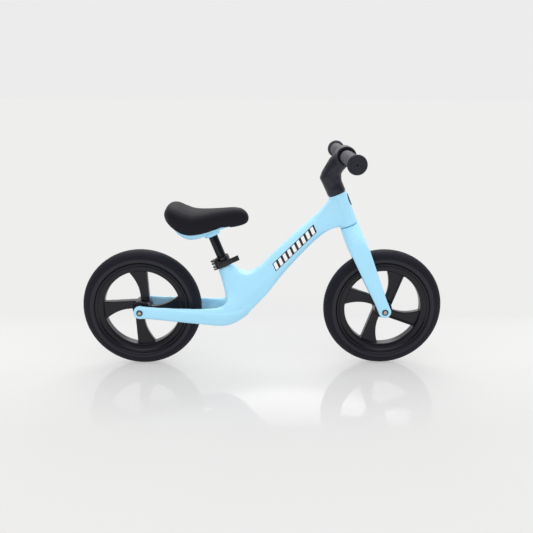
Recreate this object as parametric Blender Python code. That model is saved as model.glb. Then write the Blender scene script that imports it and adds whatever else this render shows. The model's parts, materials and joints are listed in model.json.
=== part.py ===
"""Balance bike for a small child: a moulded frame, a steered fork, two foam-tyred wheels and a saddle
on a sliding post. Metres; +X forward, +Y to the rider's left, +Z up. The origin is on the ground,
midway between the two axles."""
import bpy
import bmesh
from math import cos, sin, pi, radians
from mathutils import Matrix, Vector

# Overall sizes
WHEELBASE = 0.5888
WHEEL_RADIUS = 0.145
TYRE_HALF_WIDTH = 0.022
STEER_TILT = radians(22.25)
POST_TILT = radians(21.8)

# Clearances
GAP = 0.0003
TYRE_ROOM = 0.008
JOINT_GAP = 0.002

# Frame
KNEE_AHEAD = 0.117
KNEE_ABOVE = 0.033
SEAT_FOOT_BACK = 0.0293
SEAT_TUBE_LENGTH = 0.0778
HEAD_LENGTH = 0.0803
HEAD_RADIUS = 0.022
HEAD_BORE = 0.0170
DROPOUT_RADIUS = 0.0155
STAY_INNER = 0.0395
STAY_WALL = 0.011
# Fraction of the way from rear axle to knee: top, bottom (from axle height), inner and outer face
STAY_STATIONS = (
    (0.00, 0.0155, -0.0155, 0.0, -0.0002),
    (0.075, 0.0145, -0.0175, 0.0, -0.0002),
    (0.19, 0.0130, -0.0205, 0.0, 0.0010),
    (0.38, 0.0110, -0.0260, 0.0, 0.0015),
    (0.57, 0.0095, -0.0315, -0.0010, 0.0010),
    (0.69, 0.0098, -0.0360, -0.0075, -0.0010),
    (0.75, 0.0112, -0.0378, -0.0185, -0.0032),
    (0.78, 0.0175, -0.0385, -0.0240, -0.0045),
    (0.81, 0.0300, -0.0380, -0.0275, -0.0065),
    (0.89, 0.0450, -0.0320, -0.0370, -0.0130),
    (1.00, 0.0550, -0.0130, -0.0375, -0.0230),
)
# Fraction of the way from knee to head tube: above and below the line, half width
MAIN_TUBE_STATIONS = (
    (-0.15, 0.0400, 0.0313, 0.0370),
    (-0.05, 0.0500, 0.0323, 0.0340),
    (0.05, 0.0580, 0.0307, 0.0300),
    (0.11, 0.0460, 0.0290, 0.0275),
    (0.17, 0.0370, 0.0260, 0.0260),
    (0.25, 0.0343, 0.0220, 0.0245),
    (0.38, 0.0367, 0.0165, 0.0235),
    (0.52, 0.0370, 0.0130, 0.0225),
    (0.66, 0.0367, 0.0107, 0.0215),
    (0.76, 0.0356, 0.0120, 0.0205),
    (0.84, 0.0357, 0.0175, 0.0195),
    (0.90, 0.0370, 0.0295, 0.0185),
    (0.97, 0.0395, 0.0295, 0.0175),
)
# Distance below the shoulder of the seat tube: behind and ahead of the post, half width
SEAT_TUBE_STATIONS = (
    (0.000, 0.0190, 0.0175, 0.0180),
    (0.010, 0.0210, 0.0210, 0.0190),
    (0.021, 0.0217, 0.0280, 0.0200),
    (0.032, 0.0228, 0.0410, 0.0220),
    (0.049, 0.0250, 0.0480, 0.0250),
    (0.064, 0.0280, 0.0450, 0.0280),
    (0.079, 0.0310, 0.0400, 0.0310),
    (0.099, 0.0340, 0.0360, 0.0350),
)

# Seat post and clamp
POST_RADIUS = 0.0111
POST_WALL = 0.0018
POST_LENGTH = 0.190
POST_IN_BOSS = 0.024
POST_BORE_DEPTH = 0.118
SADDLE_RISE = 0.080
SPIGOT_WALL = 0.0026
SPIGOT_HEIGHT = 0.022
COLLAR_WALL = 0.0030
COLLAR_HEIGHT = 0.024
CLAMP_SLOT = 0.003
EAR_REACH = 0.0082
EAR_OUTER = 0.0108
EAR_LOW = 0.004
EAR_HIGH = 0.022
SKEWER_RADIUS = 0.0025
SKEWER_BEHIND_COLLAR = 0.0012
SKEWER_RISE = 0.0150
NUT_RADIUS = 0.0046
NUT_THICKNESS = 0.007
PIVOT_RADIUS = 0.0050
PIVOT_BESIDE_COLLAR = 0.0032
LEVER_HEAD_RADIUS = 0.0082
LEVER_LOW = 0.0035
LEVER_HIGH = 0.0270
LEVER_BAR_HIGH = 0.0165
LEVER_FIN_GAP = 0.0040
LEVER_TIP = 0.0395

# Saddle: station ahead of the boss: top and bottom above the boss's lower face, half width
CUSHION_STATIONS = (
    (-0.1105, 0.0590, 0.0500, 0.0300),
    (-0.1055, 0.0710, 0.0420, 0.0470),
    (-0.0960, 0.0785, 0.0310, 0.0600),
    (-0.0820, 0.0785, 0.0190, 0.0680),
    (-0.0660, 0.0710, 0.0090, 0.0705),
    (-0.0460, 0.0635, 0.0040, 0.0650),
    (-0.0240, 0.0625, 0.0045, 0.0530),
    (0.0010, 0.0640, 0.0110, 0.0400),
    (0.0260, 0.0660, 0.0180, 0.0315),
    (0.0510, 0.0680, 0.0220, 0.0270),
    (0.0690, 0.0660, 0.0260, 0.0230),
    (0.0810, 0.0575, 0.0310, 0.0165),
    (0.0865, 0.0480, 0.0370, 0.0080),
)
BASE_STATIONS = (
    (-0.0930, 0.0370, 0.0190, 0.0260),
    (-0.0800, 0.0330, 0.0060, 0.0420),
    (-0.0640, 0.0280, -0.0035, 0.0500),
    (-0.0490, 0.0260, -0.0075, 0.0510),
    (-0.0290, 0.0260, -0.0050, 0.0440),
    (-0.0090, 0.0290, 0.0030, 0.0340),
    (0.0160, 0.0340, 0.0140, 0.0270),
    (0.0410, 0.0380, 0.0220, 0.0210),
    (0.0640, 0.0410, 0.0290, 0.0150),
)
BOSS_RADIUS = 0.020
SADDLE_BOLT_RADIUS = 0.0025
SADDLE_BOLT_RISE = 0.012

# Steering
STEERER_RADIUS = 0.0127
STEERER_WALL = 0.0022
STEERER_IN_FORK = 0.036
STEERER_IN_STEM = 0.042
BUSH_LENGTH = 0.014
BUSH_FLANGE = 0.0014
BUSH_FLANGE_RADIUS = 0.0195
CROWN_ROOM = 0.0798
FORK_OFFSET = 0.0045
FORK_TIP_RADIUS = 0.015
LEG_INNER = 0.0375
LEG_WALL = 0.010
# Distance below the head tube: behind and ahead of the steering axis, half width, squareness
CROWN_STATIONS = (
    (0.0020, 0.0220, 0.0220, 0.0220, 2.0),
    (0.0120, 0.0225, 0.0225, 0.0275, 2.2),
    (0.0240, 0.0230, 0.0230, 0.0360, 2.6),
    (0.0360, 0.0235, 0.0236, 0.0430, 3.0),
    (0.0480, 0.0235, 0.0240, 0.0468, 3.2),
    (0.0620, 0.0225, 0.0240, 0.0478, 3.2),
    (0.0720, 0.0215, 0.0238, 0.0480, 3.2),
)
# Fraction of the fork's length: behind and ahead of the steering axis, shift towards the tyre
LEG_STATIONS = (
    (0.20, 0.0190, 0.0195, 0.0040),
    (0.29, 0.0222, 0.0240, 0.0003),
    (0.40, 0.0205, 0.0232, 0.0),
    (0.58, 0.0175, 0.0215, 0.0),
    (0.75, 0.0144, 0.0202, 0.0),
    (0.91, 0.0113, 0.0197, 0.0),
    (1.00, 0.0103, 0.0193, 0.0),
)
BADGE_RISE = 0.0563
BADGE_HALF_HEIGHT = 0.0148
BADGE_HALF_WIDTH = 0.0105
BADGE_THICKNESS = 0.0014

# Stem and handlebar: (ahead, above) of the head tube's top, back edge then front edge, half width
STEM_STATIONS = (
    ((-0.0220, 0.0020), (0.0220, 0.0020), 0.0220),
    ((-0.0232, 0.0250), (0.0212, 0.0250), 0.0215),
    ((-0.0252, 0.0500), (0.0258, 0.0400), 0.0212),
    ((-0.0150, 0.0620), (0.0330, 0.0455), 0.0210),
    ((-0.0020, 0.0730), (0.0425, 0.0500), 0.0210),
    ((0.0130, 0.0840), (0.0520, 0.0540), 0.0210),
    ((0.0320, 0.0930), (0.0600, 0.0580), 0.0200),
)
BAR_AHEAD = 0.0489
BAR_ABOVE = 0.0751
BAR_RADIUS = 0.0111
BAR_WALL = 0.0016
RING_RADIUS = 0.0238
RING_HALF_WIDTH = 0.0220
BAR_HALF_LENGTH = 0.1865
STEM_BOLT_RADIUS = 0.0040
STEM_BOLT_HEAD = 0.0062
STEM_BOLT_SEAT = 0.0520
STEM_BOLT_LENGTH = 0.0300
PLUG_LENGTH = 0.020
BAR_SCREW_RADIUS = 0.0025
GRIP_RADIUS = 0.0155
GRIP_INNER_END = 0.030
GRIP_END = 0.192
GRIP_FLANGE_RADIUS = 0.0213
GRIP_FLANGE = 0.006
GRIP_END_HOLE = 0.0025

# Wheels
WINDOW_RADIUS = 0.0935
RIM_HALF_WIDTH = 0.0130
TYRE_SEAT_RADIUS = 0.1035
RIM_EDGE_RADIUS = 0.1143
RIM_EDGE_HALF = 0.0195
HUB_RADIUS = 0.0220
HUB_HALF_WIDTH = 0.0270
HUB_BORE = 0.0085
SPOKE_COUNT = 4
SPOKE_HALF_THICKNESS = 0.0085
REAR_SPOKE_ANGLE = radians(-2.5)
FRONT_SPOKE_ANGLE = radians(-25.5)
# Distance from the hub's centre: straight edge and hollow edge, to each side of the spoke's line
SPOKE_STATIONS = (
    (0.012, -0.0180, 0.0060),
    (0.030, -0.0168, 0.0045),
    (0.050, -0.0148, 0.0085),
    (0.068, -0.0128, 0.0165),
    (0.082, -0.0112, 0.0270),
    (0.0945, -0.0101, 0.0405),
)
BEARING_RADIUS = 0.011
BEARING_WIDTH = 0.007
AXLE_RADIUS = 0.004
SPACER_RADIUS = 0.0065
WASHER_RADIUS = 0.0077
WASHER_THICKNESS = 0.0012
BOLT_RADIUS = 0.0025
BOLT_HEAD_RADIUS = 0.0045
BOLT_HEAD_HEIGHT = 0.0020
BOLT_GRIP = 0.014

RING_SIDES = 16
ROUND_SIDES = 16
SMALL_SIDES = 12
WHEEL_SIDES = 36

# Places worked out from the sizes above
REAR_AXLE = Vector((-WHEELBASE / 2, 0, WHEEL_RADIUS))
FRONT_AXLE = Vector((WHEELBASE / 2, 0, WHEEL_RADIUS))
SIDE = Vector((0, 1, 0))
STEER_UP = Vector((-sin(STEER_TILT), 0, cos(STEER_TILT)))
STEER_AHEAD = Vector((cos(STEER_TILT), 0, sin(STEER_TILT)))
POST_UP = Vector((-sin(POST_TILT), 0, cos(POST_TILT)))
POST_AHEAD = Vector((cos(POST_TILT), 0, sin(POST_TILT)))
FORK_LENGTH = WHEEL_RADIUS + CROWN_ROOM
HEAD_BOTTOM = FRONT_AXLE + STEER_UP * FORK_LENGTH - STEER_AHEAD * FORK_OFFSET
HEAD_TOP = HEAD_BOTTOM + STEER_UP * HEAD_LENGTH
BAR_CENTRE = HEAD_TOP + STEER_AHEAD * BAR_AHEAD + STEER_UP * BAR_ABOVE
KNEE = REAR_AXLE + Vector((WHEEL_RADIUS + KNEE_AHEAD, 0, KNEE_ABOVE))
SHOULDER = KNEE - Vector((SEAT_FOOT_BACK, 0, 0)) + POST_UP * SEAT_TUBE_LENGTH
BOSS = SHOULDER + POST_UP * SADDLE_RISE
SPIGOT_RADIUS = POST_RADIUS + GAP + SPIGOT_WALL
COLLAR_BORE = SPIGOT_RADIUS + GAP
COLLAR_RADIUS = COLLAR_BORE + COLLAR_WALL
EAR_BACK = COLLAR_RADIUS + EAR_REACH
SKEWER_BACK = COLLAR_RADIUS + SKEWER_BEHIND_COLLAR
PIVOT_OUT = COLLAR_RADIUS + PIVOT_BESIDE_COLLAR

# Placements whose local Z runs along an axis of the bike
STEER_PLACE = Matrix.Translation(HEAD_BOTTOM) @ Matrix.Rotation(-STEER_TILT, 4, "Y")
POST_PLACE = Matrix.Translation(SHOULDER) @ Matrix.Rotation(-POST_TILT, 4, "Y")


def cross_place(point):
    """Local Z to the rider's right (-Y), local Y up, local X forward."""
    return Matrix.Translation(point) @ Matrix.Rotation(pi / 2, 4, "X")


def clear_scene():
    for item in list(bpy.data.objects):
        bpy.data.objects.remove(item, do_unlink=True)


def material(name, colour, roughness, metallic=0.0):
    finish = bpy.data.materials.new(name)
    finish.use_nodes = True
    shader = finish.node_tree.nodes["Principled BSDF"]
    shader.inputs["Base Color"].default_value = (*colour, 1)
    shader.inputs["Roughness"].default_value = roughness
    shader.inputs["Metallic"].default_value = metallic
    return finish


def blue_moulding(name):
    return material(name, (0.39, 0.74, 0.94), 0.35)


def black_plastic(name):
    return material(name, (0.016, 0.017, 0.023), 0.45)


def black_steel(name):
    return material(name, (0.012, 0.013, 0.016), 0.3, 0.6)


def bright_steel(name):
    return material(name, (0.62, 0.62, 0.6), 0.25, 1.0)


def make(name, shape, place=None):
    """Turn a bmesh into an object at the given placement, shaded smooth on its round sides."""
    bmesh.ops.recalc_face_normals(shape, faces=shape.faces)
    mesh = bpy.data.meshes.new(name)
    shape.to_mesh(mesh)
    shape.free()
    mesh.shade_smooth()
    mesh.set_sharp_from_angle(angle=radians(35))
    item = bpy.data.objects.new(name, mesh)
    bpy.context.collection.objects.link(item)
    if place is not None:
        item.matrix_world = place
    return item


def hide_tool(item):
    item.hide_render = True
    item.display_type = "WIRE"
    return item


def combine(item, tools, operation):
    """Join the tools to an object, or cut them from it, with one exact Boolean for each."""
    for tool in tools:
        step = item.modifiers.new(tool.name, "BOOLEAN")
        step.operation = operation
        step.solver = "EXACT"
        step.object = hide_tool(tool)
    return item


def rod(name, low, high, radius, place, sides=ROUND_SIDES, tip_radius=None):
    """A round bar along the placement's Z, from low to high."""
    shape = bmesh.new()
    top = radius if tip_radius is None else tip_radius
    middle = Matrix.Translation((0, 0, (low + high) / 2))
    bmesh.ops.create_cone(shape, cap_ends=True, segments=sides, radius1=radius, radius2=top,
                          depth=high - low, matrix=middle)
    return make(name, shape, place)


def block(name, low, high, place):
    """A box from its low corner to its high corner, in the placement's own directions."""
    shape = bmesh.new()
    low = Vector(low)
    high = Vector(high)
    size = Matrix.Diagonal((*(high - low), 1))
    bmesh.ops.create_cube(shape, size=1, matrix=Matrix.Translation((low + high) / 2) @ size)
    return make(name, shape, place)


def turned(name, profile, place, sides=ROUND_SIDES):
    """A closed outline of (radius, height) points spun round the placement's Z."""
    shape = bmesh.new()
    points = [shape.verts.new((radius, 0, height)) for radius, height in profile]
    edges = [shape.edges.new((points[i - 1], points[i])) for i in range(len(points))]
    bmesh.ops.spin(shape, geom=points + edges, cent=(0, 0, 0), axis=(0, 0, 1), angle=2 * pi,
                   steps=sides, use_merge=True, use_duplicate=False)
    bmesh.ops.remove_doubles(shape, verts=shape.verts, dist=0.00001)
    return make(name, shape, place)


def sleeve(name, low, high, bore, radius, place, sides=ROUND_SIDES):
    profile = ((bore, low), (radius, low), (radius, high), (bore, high))
    return turned(name, profile, place, sides)


def hex_nut(name, low, high, bore, radius, place):
    nut = rod(name, low, high, radius, place, 6)
    past = radius
    return combine(nut, [rod(name + "_bore", low - past, high + past, bore, place, SMALL_SIDES)], "DIFFERENCE")


def section(centre, along, across, half_along, half_across, squareness=2.5, sides=RING_SIDES):
    """One closed rounded outline round a centre, squarer than an ellipse above 2."""
    points = []
    for i in range(sides):
        angle = 2 * pi * i / sides
        reach_along = abs(cos(angle)) ** (2 / squareness) * (1 if cos(angle) >= 0 else -1)
        reach_across = abs(sin(angle)) ** (2 / squareness) * (1 if sin(angle) >= 0 else -1)
        points.append(centre + along * half_along * reach_along + across * half_across * reach_across)
    return points


def rib(back, front, half_width, shift=0.0, squareness=2.5, sides=RING_SIDES):
    """A section that reaches from a back point to a front point of the side view."""
    spread = front - back
    centre = (back + front) / 2 + SIDE * shift
    return section(centre, spread.normalized(), SIDE, spread.length / 2, half_width, squareness, sides)


def loft(name, sections):
    """A closed skin through a row of sections with the same number of points."""
    shape = bmesh.new()
    rings = [[shape.verts.new(point) for point in points] for points in sections]
    for ring, following in zip(rings, rings[1:]):
        for i in range(len(ring)):
            shape.faces.new((ring[i - 1], ring[i], following[i], following[i - 1]))
    shape.faces.new(rings[0])
    shape.faces.new(rings[-1])
    bmesh.ops.triangulate(shape, faces=shape.faces)
    return make(name, shape)


def axis_empty(name, place):
    """An empty that holds a moving group at its joint axis."""
    empty = bpy.data.objects.new(name, None)
    bpy.context.collection.objects.link(empty)
    empty.matrix_world = place
    empty.hide_render = True
    return empty


def carry(empty, items):
    """Parent items to an empty without moving them."""
    bpy.context.view_layer.update()
    for item in items:
        item.parent = empty
        item.matrix_parent_inverse = empty.matrix_world.inverted()


def finish(item, surface):
    item.data.materials.append(surface)
    return item


# ---------------------------------------------------------------- frame


def stay(side):
    """One rear stay, from the dropout to the knee; side is +1 on the rider's left."""
    reach = KNEE.x - REAR_AXLE.x
    sections = []
    for fraction, top, bottom, inward, outward in STAY_STATIONS:
        upper = REAR_AXLE + Vector((reach * fraction, 0, top))
        lower = REAR_AXLE + Vector((reach * fraction, 0, bottom))
        inner = STAY_INNER + inward
        outer = STAY_INNER + STAY_WALL + outward
        sections.append(rib(upper, lower, (outer - inner) / 2, side * (outer + inner) / 2, 3.2))
    body = loft(f"stay_{side}", sections)
    middle = -side * (STAY_INNER + STAY_WALL / 2)
    end = rod(f"dropout_{side}", middle - STAY_WALL / 2, middle + STAY_WALL / 2, DROPOUT_RADIUS,
              cross_place(REAR_AXLE), 32)
    return [body, end]


def main_tube():
    line = HEAD_BOTTOM + STEER_UP * HEAD_LENGTH / 2 - KNEE
    ahead = line.normalized()
    above = Vector((-ahead.z, 0, ahead.x))
    sections = []
    for fraction, top, bottom, half_width in MAIN_TUBE_STATIONS:
        centre = KNEE + line * fraction
        sections.append(rib(centre + above * top, centre - above * bottom, half_width))
    return loft("main_tube", sections)


def seat_tube():
    sections = []
    for down, back, front, half_width in SEAT_TUBE_STATIONS:
        centre = SHOULDER - POST_UP * down
        sections.append(rib(centre - POST_AHEAD * back, centre + POST_AHEAD * front, half_width, 0, 2.2))
    return loft("seat_tube", sections)


def frame():
    """The moulded frame: tubes joined into one body, then bored for post, steerer and axle."""
    body = finish(main_tube(), blue_moulding("frame_blue"))
    body.name = "frame"
    head = rod("head_tube", 0, HEAD_LENGTH, HEAD_RADIUS, STEER_PLACE, 32)
    spigot = rod("spigot", -0.01, SPIGOT_HEIGHT, SPIGOT_RADIUS, POST_PLACE)
    combine(body, [seat_tube(), *stay(1), *stay(-1), head, spigot], "UNION")
    past = 0.01
    head_bore = rod("head_bore", -past, HEAD_LENGTH + past, HEAD_BORE, STEER_PLACE)
    post_bore = rod("post_bore", -POST_BORE_DEPTH, SPIGOT_HEIGHT + past, POST_RADIUS + GAP, POST_PLACE)
    slot = block("spigot_slot", (-SPIGOT_RADIUS - past, -CLAMP_SLOT / 2, GAP),
                 (0, CLAMP_SLOT / 2, SPIGOT_HEIGHT + past), POST_PLACE)
    bolt_way = rod("axle_bolt_way", -0.1, 0.1, BOLT_RADIUS + GAP, cross_place(REAR_AXLE), SMALL_SIDES)
    tyre_way = rod("tyre_way", -STAY_INNER + GAP, STAY_INNER - GAP, WHEEL_RADIUS + TYRE_ROOM,
                   cross_place(REAR_AXLE), 48)
    return combine(body, [head_bore, post_bore, slot, bolt_way, tyre_way], "DIFFERENCE")


def head_badge():
    """A plain oval plaque that wraps round the front of the head tube."""
    inner = HEAD_RADIUS + GAP
    low = BADGE_RISE - BADGE_HALF_HEIGHT
    high = BADGE_RISE + BADGE_HALF_HEIGHT
    plaque = sleeve("head_badge", low - GAP, high + GAP, inner, inner + BADGE_THICKNESS, STEER_PLACE, 40)
    front = HEAD_RADIUS * 1.5
    centre = HEAD_BOTTOM + STEER_UP * BADGE_RISE
    sections = []
    for ahead in (HEAD_RADIUS / 2, front):
        sections.append(section(centre + STEER_AHEAD * ahead, STEER_UP, SIDE, BADGE_HALF_HEIGHT,
                                BADGE_HALF_WIDTH, 2.0, 24))
    combine(plaque, [loft("badge_outline", sections)], "INTERSECT")
    return finish(plaque, material("badge_grey", (0.03, 0.033, 0.05), 0.4))


# ---------------------------------------------------------------- seat clamp


def seat_collar():
    """A split ring with two ears behind it, drawn together by the skewer."""
    low = GAP
    ring = sleeve("seat_collar", low, low + COLLAR_HEIGHT, COLLAR_BORE, COLLAR_RADIUS, POST_PLACE, 32)
    ear = block("collar_ears", (-EAR_BACK, -EAR_OUTER, EAR_LOW), (-COLLAR_BORE - 0.0004, EAR_OUTER, EAR_HIGH),
                POST_PLACE)
    combine(ring, [ear], "UNION")
    past = 0.01
    slot = block("collar_slot", (-EAR_BACK - past, -CLAMP_SLOT / 2, low - past),
                 (-SPIGOT_RADIUS + past / 2, CLAMP_SLOT / 2, low + COLLAR_HEIGHT + past), POST_PLACE)
    way = rod("skewer_way", -2 * EAR_OUTER, 2 * EAR_OUTER, SKEWER_RADIUS + GAP, skewer_place(), SMALL_SIDES)
    combine(ring, [slot, way], "DIFFERENCE")
    return finish(ring, black_steel("collar_black"))


def skewer_place():
    return cross_place(SHOULDER - POST_AHEAD * SKEWER_BACK + POST_UP * SKEWER_RISE)


def clamp_skewer():
    near = PIVOT_OUT - PIVOT_RADIUS - GAP
    far = -(EAR_OUTER + GAP + NUT_THICKNESS)
    pin = rod("clamp_skewer", far, near, SKEWER_RADIUS, skewer_place(), SMALL_SIDES)
    return finish(pin, bright_steel("skewer_steel"))


def clamp_nut():
    near = -(EAR_OUTER + GAP)
    nut = hex_nut("clamp_nut", near - NUT_THICKNESS, near, SKEWER_RADIUS + GAP, NUT_RADIUS, skewer_place())
    return finish(nut, bright_steel("nut_steel"))


def lever_place():
    side = Vector((0, -PIVOT_OUT, 0))
    return Matrix.Translation(SHOULDER - POST_AHEAD * SKEWER_BACK + side) @ Matrix.Rotation(-POST_TILT, 4, "Y")


def lever_pivot():
    inset = 0.0012
    pin = rod("lever_pivot", LEVER_LOW + inset, LEVER_HIGH - inset, PIVOT_RADIUS, lever_place(), 16)
    return finish(pin, bright_steel("pivot_steel"))


def clamp_lever():
    """The cam lever: a finned head round the pivot and a bar that lies along the collar."""
    place = lever_place()
    head = rod("clamp_lever", LEVER_LOW, LEVER_HIGH, LEVER_HEAD_RADIUS, place, 20)
    tip = SKEWER_BACK + LEVER_TIP
    path = ((0.002, -0.0008, 0.0060), (0.0150, -0.0020, 0.0030), (0.0300, -0.0020, 0.0026),
            (0.0460, -0.0008, 0.0025), (tip, 0.0030, 0.0024))
    sections = []
    for i, (ahead, sideways, half) in enumerate(path):
        high = LEVER_HIGH if i == 0 else LEVER_BAR_HIGH
        middle = place @ Vector((ahead, sideways, (LEVER_LOW + high) / 2))
        sections.append(section(middle, POST_UP, SIDE, (high - LEVER_LOW) / 2, half, 4.0, 12))
    combine(head, [loft("lever_bar", sections)], "UNION")
    cuts = [rod("pivot_way", LEVER_LOW - 0.01, LEVER_HIGH + 0.01, PIVOT_RADIUS + GAP, place, 16)]
    middle = SKEWER_RISE
    pitch = (LEVER_HIGH - LEVER_LOW) / 3.2
    for i, gap in ((-1, LEVER_FIN_GAP), (0, 2 * SKEWER_RADIUS + 0.001), (1, LEVER_FIN_GAP)):
        low = middle + i * pitch - gap / 2
        for corner, far in (((-0.02, -0.02), (0.0, 0.02)), ((-0.02, 0.0), (0.0042, 0.02))):
            cuts.append(block(f"fin_gap_{i}", (*corner, low), (*far, low + gap), place))
    combine(head, cuts, "DIFFERENCE")
    return finish(head, black_plastic("lever_black"))


# ---------------------------------------------------------------- seat


def seat_post():
    top = SADDLE_RISE + POST_IN_BOSS
    tube = sleeve("seat_post", top - POST_LENGTH, top, POST_RADIUS - POST_WALL, POST_RADIUS, POST_PLACE)
    way = rod("post_bolt_way", -0.03, 0.03, SADDLE_BOLT_RADIUS + GAP, saddle_bolt_place(), SMALL_SIDES)
    combine(tube, [way], "DIFFERENCE")
    return finish(tube, black_steel("post_black"))


def saddle_bolt_place():
    """Local Z runs forward through the boss, square to the post."""
    middle = BOSS + POST_UP * SADDLE_BOLT_RISE
    return Matrix.Translation(middle) @ Matrix.Rotation(pi / 2 - POST_TILT, 4, "Y")


def saddle_sections(stations, grow=0.0, squareness=2.5):
    sections = []
    for ahead, top, bottom, half_width in stations:
        centre = BOSS + Vector((ahead, 0, (top + bottom) / 2))
        half_height = (top - bottom) / 2 + grow
        sections.append(section(centre, Vector((0, 0, 1)), SIDE, half_height, half_width + grow, squareness))
    return sections


def boss_rod(name, grow):
    return rod(name, -grow, 0.034, BOSS_RADIUS + grow, Matrix.Translation(POST_UP * SADDLE_RISE) @ POST_PLACE)


def saddle_base():
    """The shell under the cushion, with the boss that takes the post."""
    shell = loft("saddle_base", saddle_sections(BASE_STATIONS))
    combine(shell, [boss_rod("boss", 0.0)], "UNION")
    low = SADDLE_RISE - 0.01
    socket = rod("post_socket", low, SADDLE_RISE + POST_IN_BOSS + GAP, POST_RADIUS + GAP, POST_PLACE)
    place = saddle_bolt_place()
    way = rod("boss_bolt_way", -0.06, 0.06, SADDLE_BOLT_RADIUS + GAP, place, SMALL_SIDES)
    front = rod("boss_front_seat", BOSS_RADIUS - 0.004, 0.06, BOLT_HEAD_RADIUS + GAP, place, SMALL_SIDES)
    back = rod("boss_back_seat", -0.08, -(BOSS_RADIUS - 0.004), BOLT_HEAD_RADIUS + GAP, place, SMALL_SIDES)
    combine(shell, [socket, way, front, back], "DIFFERENCE")
    return finish(shell, blue_moulding("base_blue"))


def saddle_cushion():
    pad = loft("saddle_cushion", saddle_sections(CUSHION_STATIONS))
    shell_way = loft("shell_way", saddle_sections(BASE_STATIONS, GAP))
    combine(pad, [shell_way, boss_rod("boss_way", GAP)], "DIFFERENCE")
    return finish(pad, black_plastic("cushion_black"))


def saddle_fastening():
    place = saddle_bolt_place()
    seat = BOSS_RADIUS - 0.004 + GAP
    bolt = rod("saddle_bolt", -seat - 0.003, seat, SADDLE_BOLT_RADIUS, place, SMALL_SIDES)
    head = rod("saddle_bolt_head", seat - GAP, seat + 0.003, BOLT_HEAD_RADIUS, place, SMALL_SIDES)
    combine(bolt, [head], "UNION")
    nut = hex_nut("saddle_nut", -seat - 0.003, -seat, SADDLE_BOLT_RADIUS + GAP, BOLT_HEAD_RADIUS, place)
    return [finish(bolt, bright_steel("saddle_bolt_steel")), finish(nut, bright_steel("saddle_nut_steel"))]


# ---------------------------------------------------------------- steering


def bush(name, mouth, inward):
    """A flanged bush; mouth is the head tube's end and inward points into the tube."""
    start = mouth - inward * GAP
    flange_end = start - inward * BUSH_FLANGE
    depth = mouth + inward * BUSH_LENGTH
    bore = STEERER_RADIUS + GAP
    profile = ((bore, flange_end), (BUSH_FLANGE_RADIUS, flange_end), (BUSH_FLANGE_RADIUS, start),
               (HEAD_BORE - GAP, start), (HEAD_BORE - GAP, depth), (bore, depth))
    return finish(turned(name, profile, STEER_PLACE), black_plastic(name + "_nylon"))


def steerer_tube():
    tube = sleeve("steerer_tube", -JOINT_GAP - STEERER_IN_FORK, HEAD_LENGTH + JOINT_GAP + STEERER_IN_STEM,
                  STEERER_RADIUS - STEERER_WALL, STEERER_RADIUS, STEER_PLACE)
    return finish(tube, bright_steel("steerer_steel"))


def steerer_plug():
    top = HEAD_LENGTH + JOINT_GAP + STEERER_IN_STEM - GAP
    radius = STEERER_RADIUS - STEERER_WALL - GAP
    plug = sleeve("steerer_plug", top - PLUG_LENGTH, top, STEM_BOLT_RADIUS + GAP, radius, STEER_PLACE)
    return finish(plug, bright_steel("plug_steel"))


def fork_point(down, ahead):
    return HEAD_BOTTOM - STEER_UP * down + STEER_AHEAD * ahead


def fork():
    """The moulded fork: crown and two legs in one body, with an arch over the tyre."""
    crown = []
    for down, back, front, half_width, squareness in CROWN_STATIONS:
        crown.append(rib(fork_point(down, -back), fork_point(down, front), half_width, 0, squareness))
    body = finish(loft("fork", crown), blue_moulding("fork_blue"))
    parts = []
    for side in (1, -1):
        leg = []
        for fraction, back, front, inward in LEG_STATIONS:
            down = FORK_LENGTH * fraction
            leg.append(rib(fork_point(down, -back), fork_point(down, front), LEG_WALL / 2,
                           side * (LEG_INNER + LEG_WALL / 2 - inward), 3.2))
        parts.append(loft(f"leg_{side}", leg))
        middle = -side * (LEG_INNER + LEG_WALL / 2)
        parts.append(rod(f"fork_tip_{side}", middle - LEG_WALL / 2, middle + LEG_WALL / 2,
                         FORK_TIP_RADIUS, cross_place(FRONT_AXLE), 32))
    combine(body, parts, "UNION")
    socket = rod("steerer_socket", -JOINT_GAP - STEERER_IN_FORK - GAP, 0.01, STEERER_RADIUS + GAP, STEER_PLACE)
    arch = rod("tyre_arch", -LEG_INNER, LEG_INNER, WHEEL_RADIUS + TYRE_ROOM, cross_place(FRONT_AXLE), 48)
    bolt_way = rod("fork_bolt_way", -0.1, 0.1, BOLT_RADIUS + GAP, cross_place(FRONT_AXLE), SMALL_SIDES)
    return combine(body, [socket, arch, bolt_way], "DIFFERENCE")


def stem_point(place):
    ahead, above = place
    return HEAD_TOP + STEER_AHEAD * ahead + STEER_UP * above


def stem():
    """The moulded stem: a socket over the steerer and a ring round the bar."""
    sections = [rib(stem_point(back), stem_point(front), half, 0, 2.2) for back, front, half in STEM_STATIONS]
    body = finish(loft("stem", sections), black_plastic("stem_black"))
    ring = rod("bar_ring", -RING_HALF_WIDTH, RING_HALF_WIDTH, RING_RADIUS, cross_place(BAR_CENTRE), 32)
    combine(body, [ring], "UNION")
    top = HEAD_LENGTH + STEM_BOLT_SEAT
    cuts = [
        rod("stem_socket", HEAD_LENGTH, HEAD_LENGTH + JOINT_GAP + STEERER_IN_STEM + GAP,
            STEERER_RADIUS + GAP, STEER_PLACE),
        rod("bolt_way", HEAD_LENGTH, top + 0.01, STEM_BOLT_RADIUS + GAP, STEER_PLACE, SMALL_SIDES),
        rod("bolt_recess", top, top + 0.06, STEM_BOLT_HEAD + 0.0012, STEER_PLACE),
        rod("bar_way", -0.06, 0.06, BAR_RADIUS + GAP, cross_place(BAR_CENTRE)),
        rod("bar_screw_way", 0, 0.05, BAR_SCREW_RADIUS + GAP, bar_screw_place(), SMALL_SIDES),
    ]
    return combine(body, cuts, "DIFFERENCE")


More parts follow.
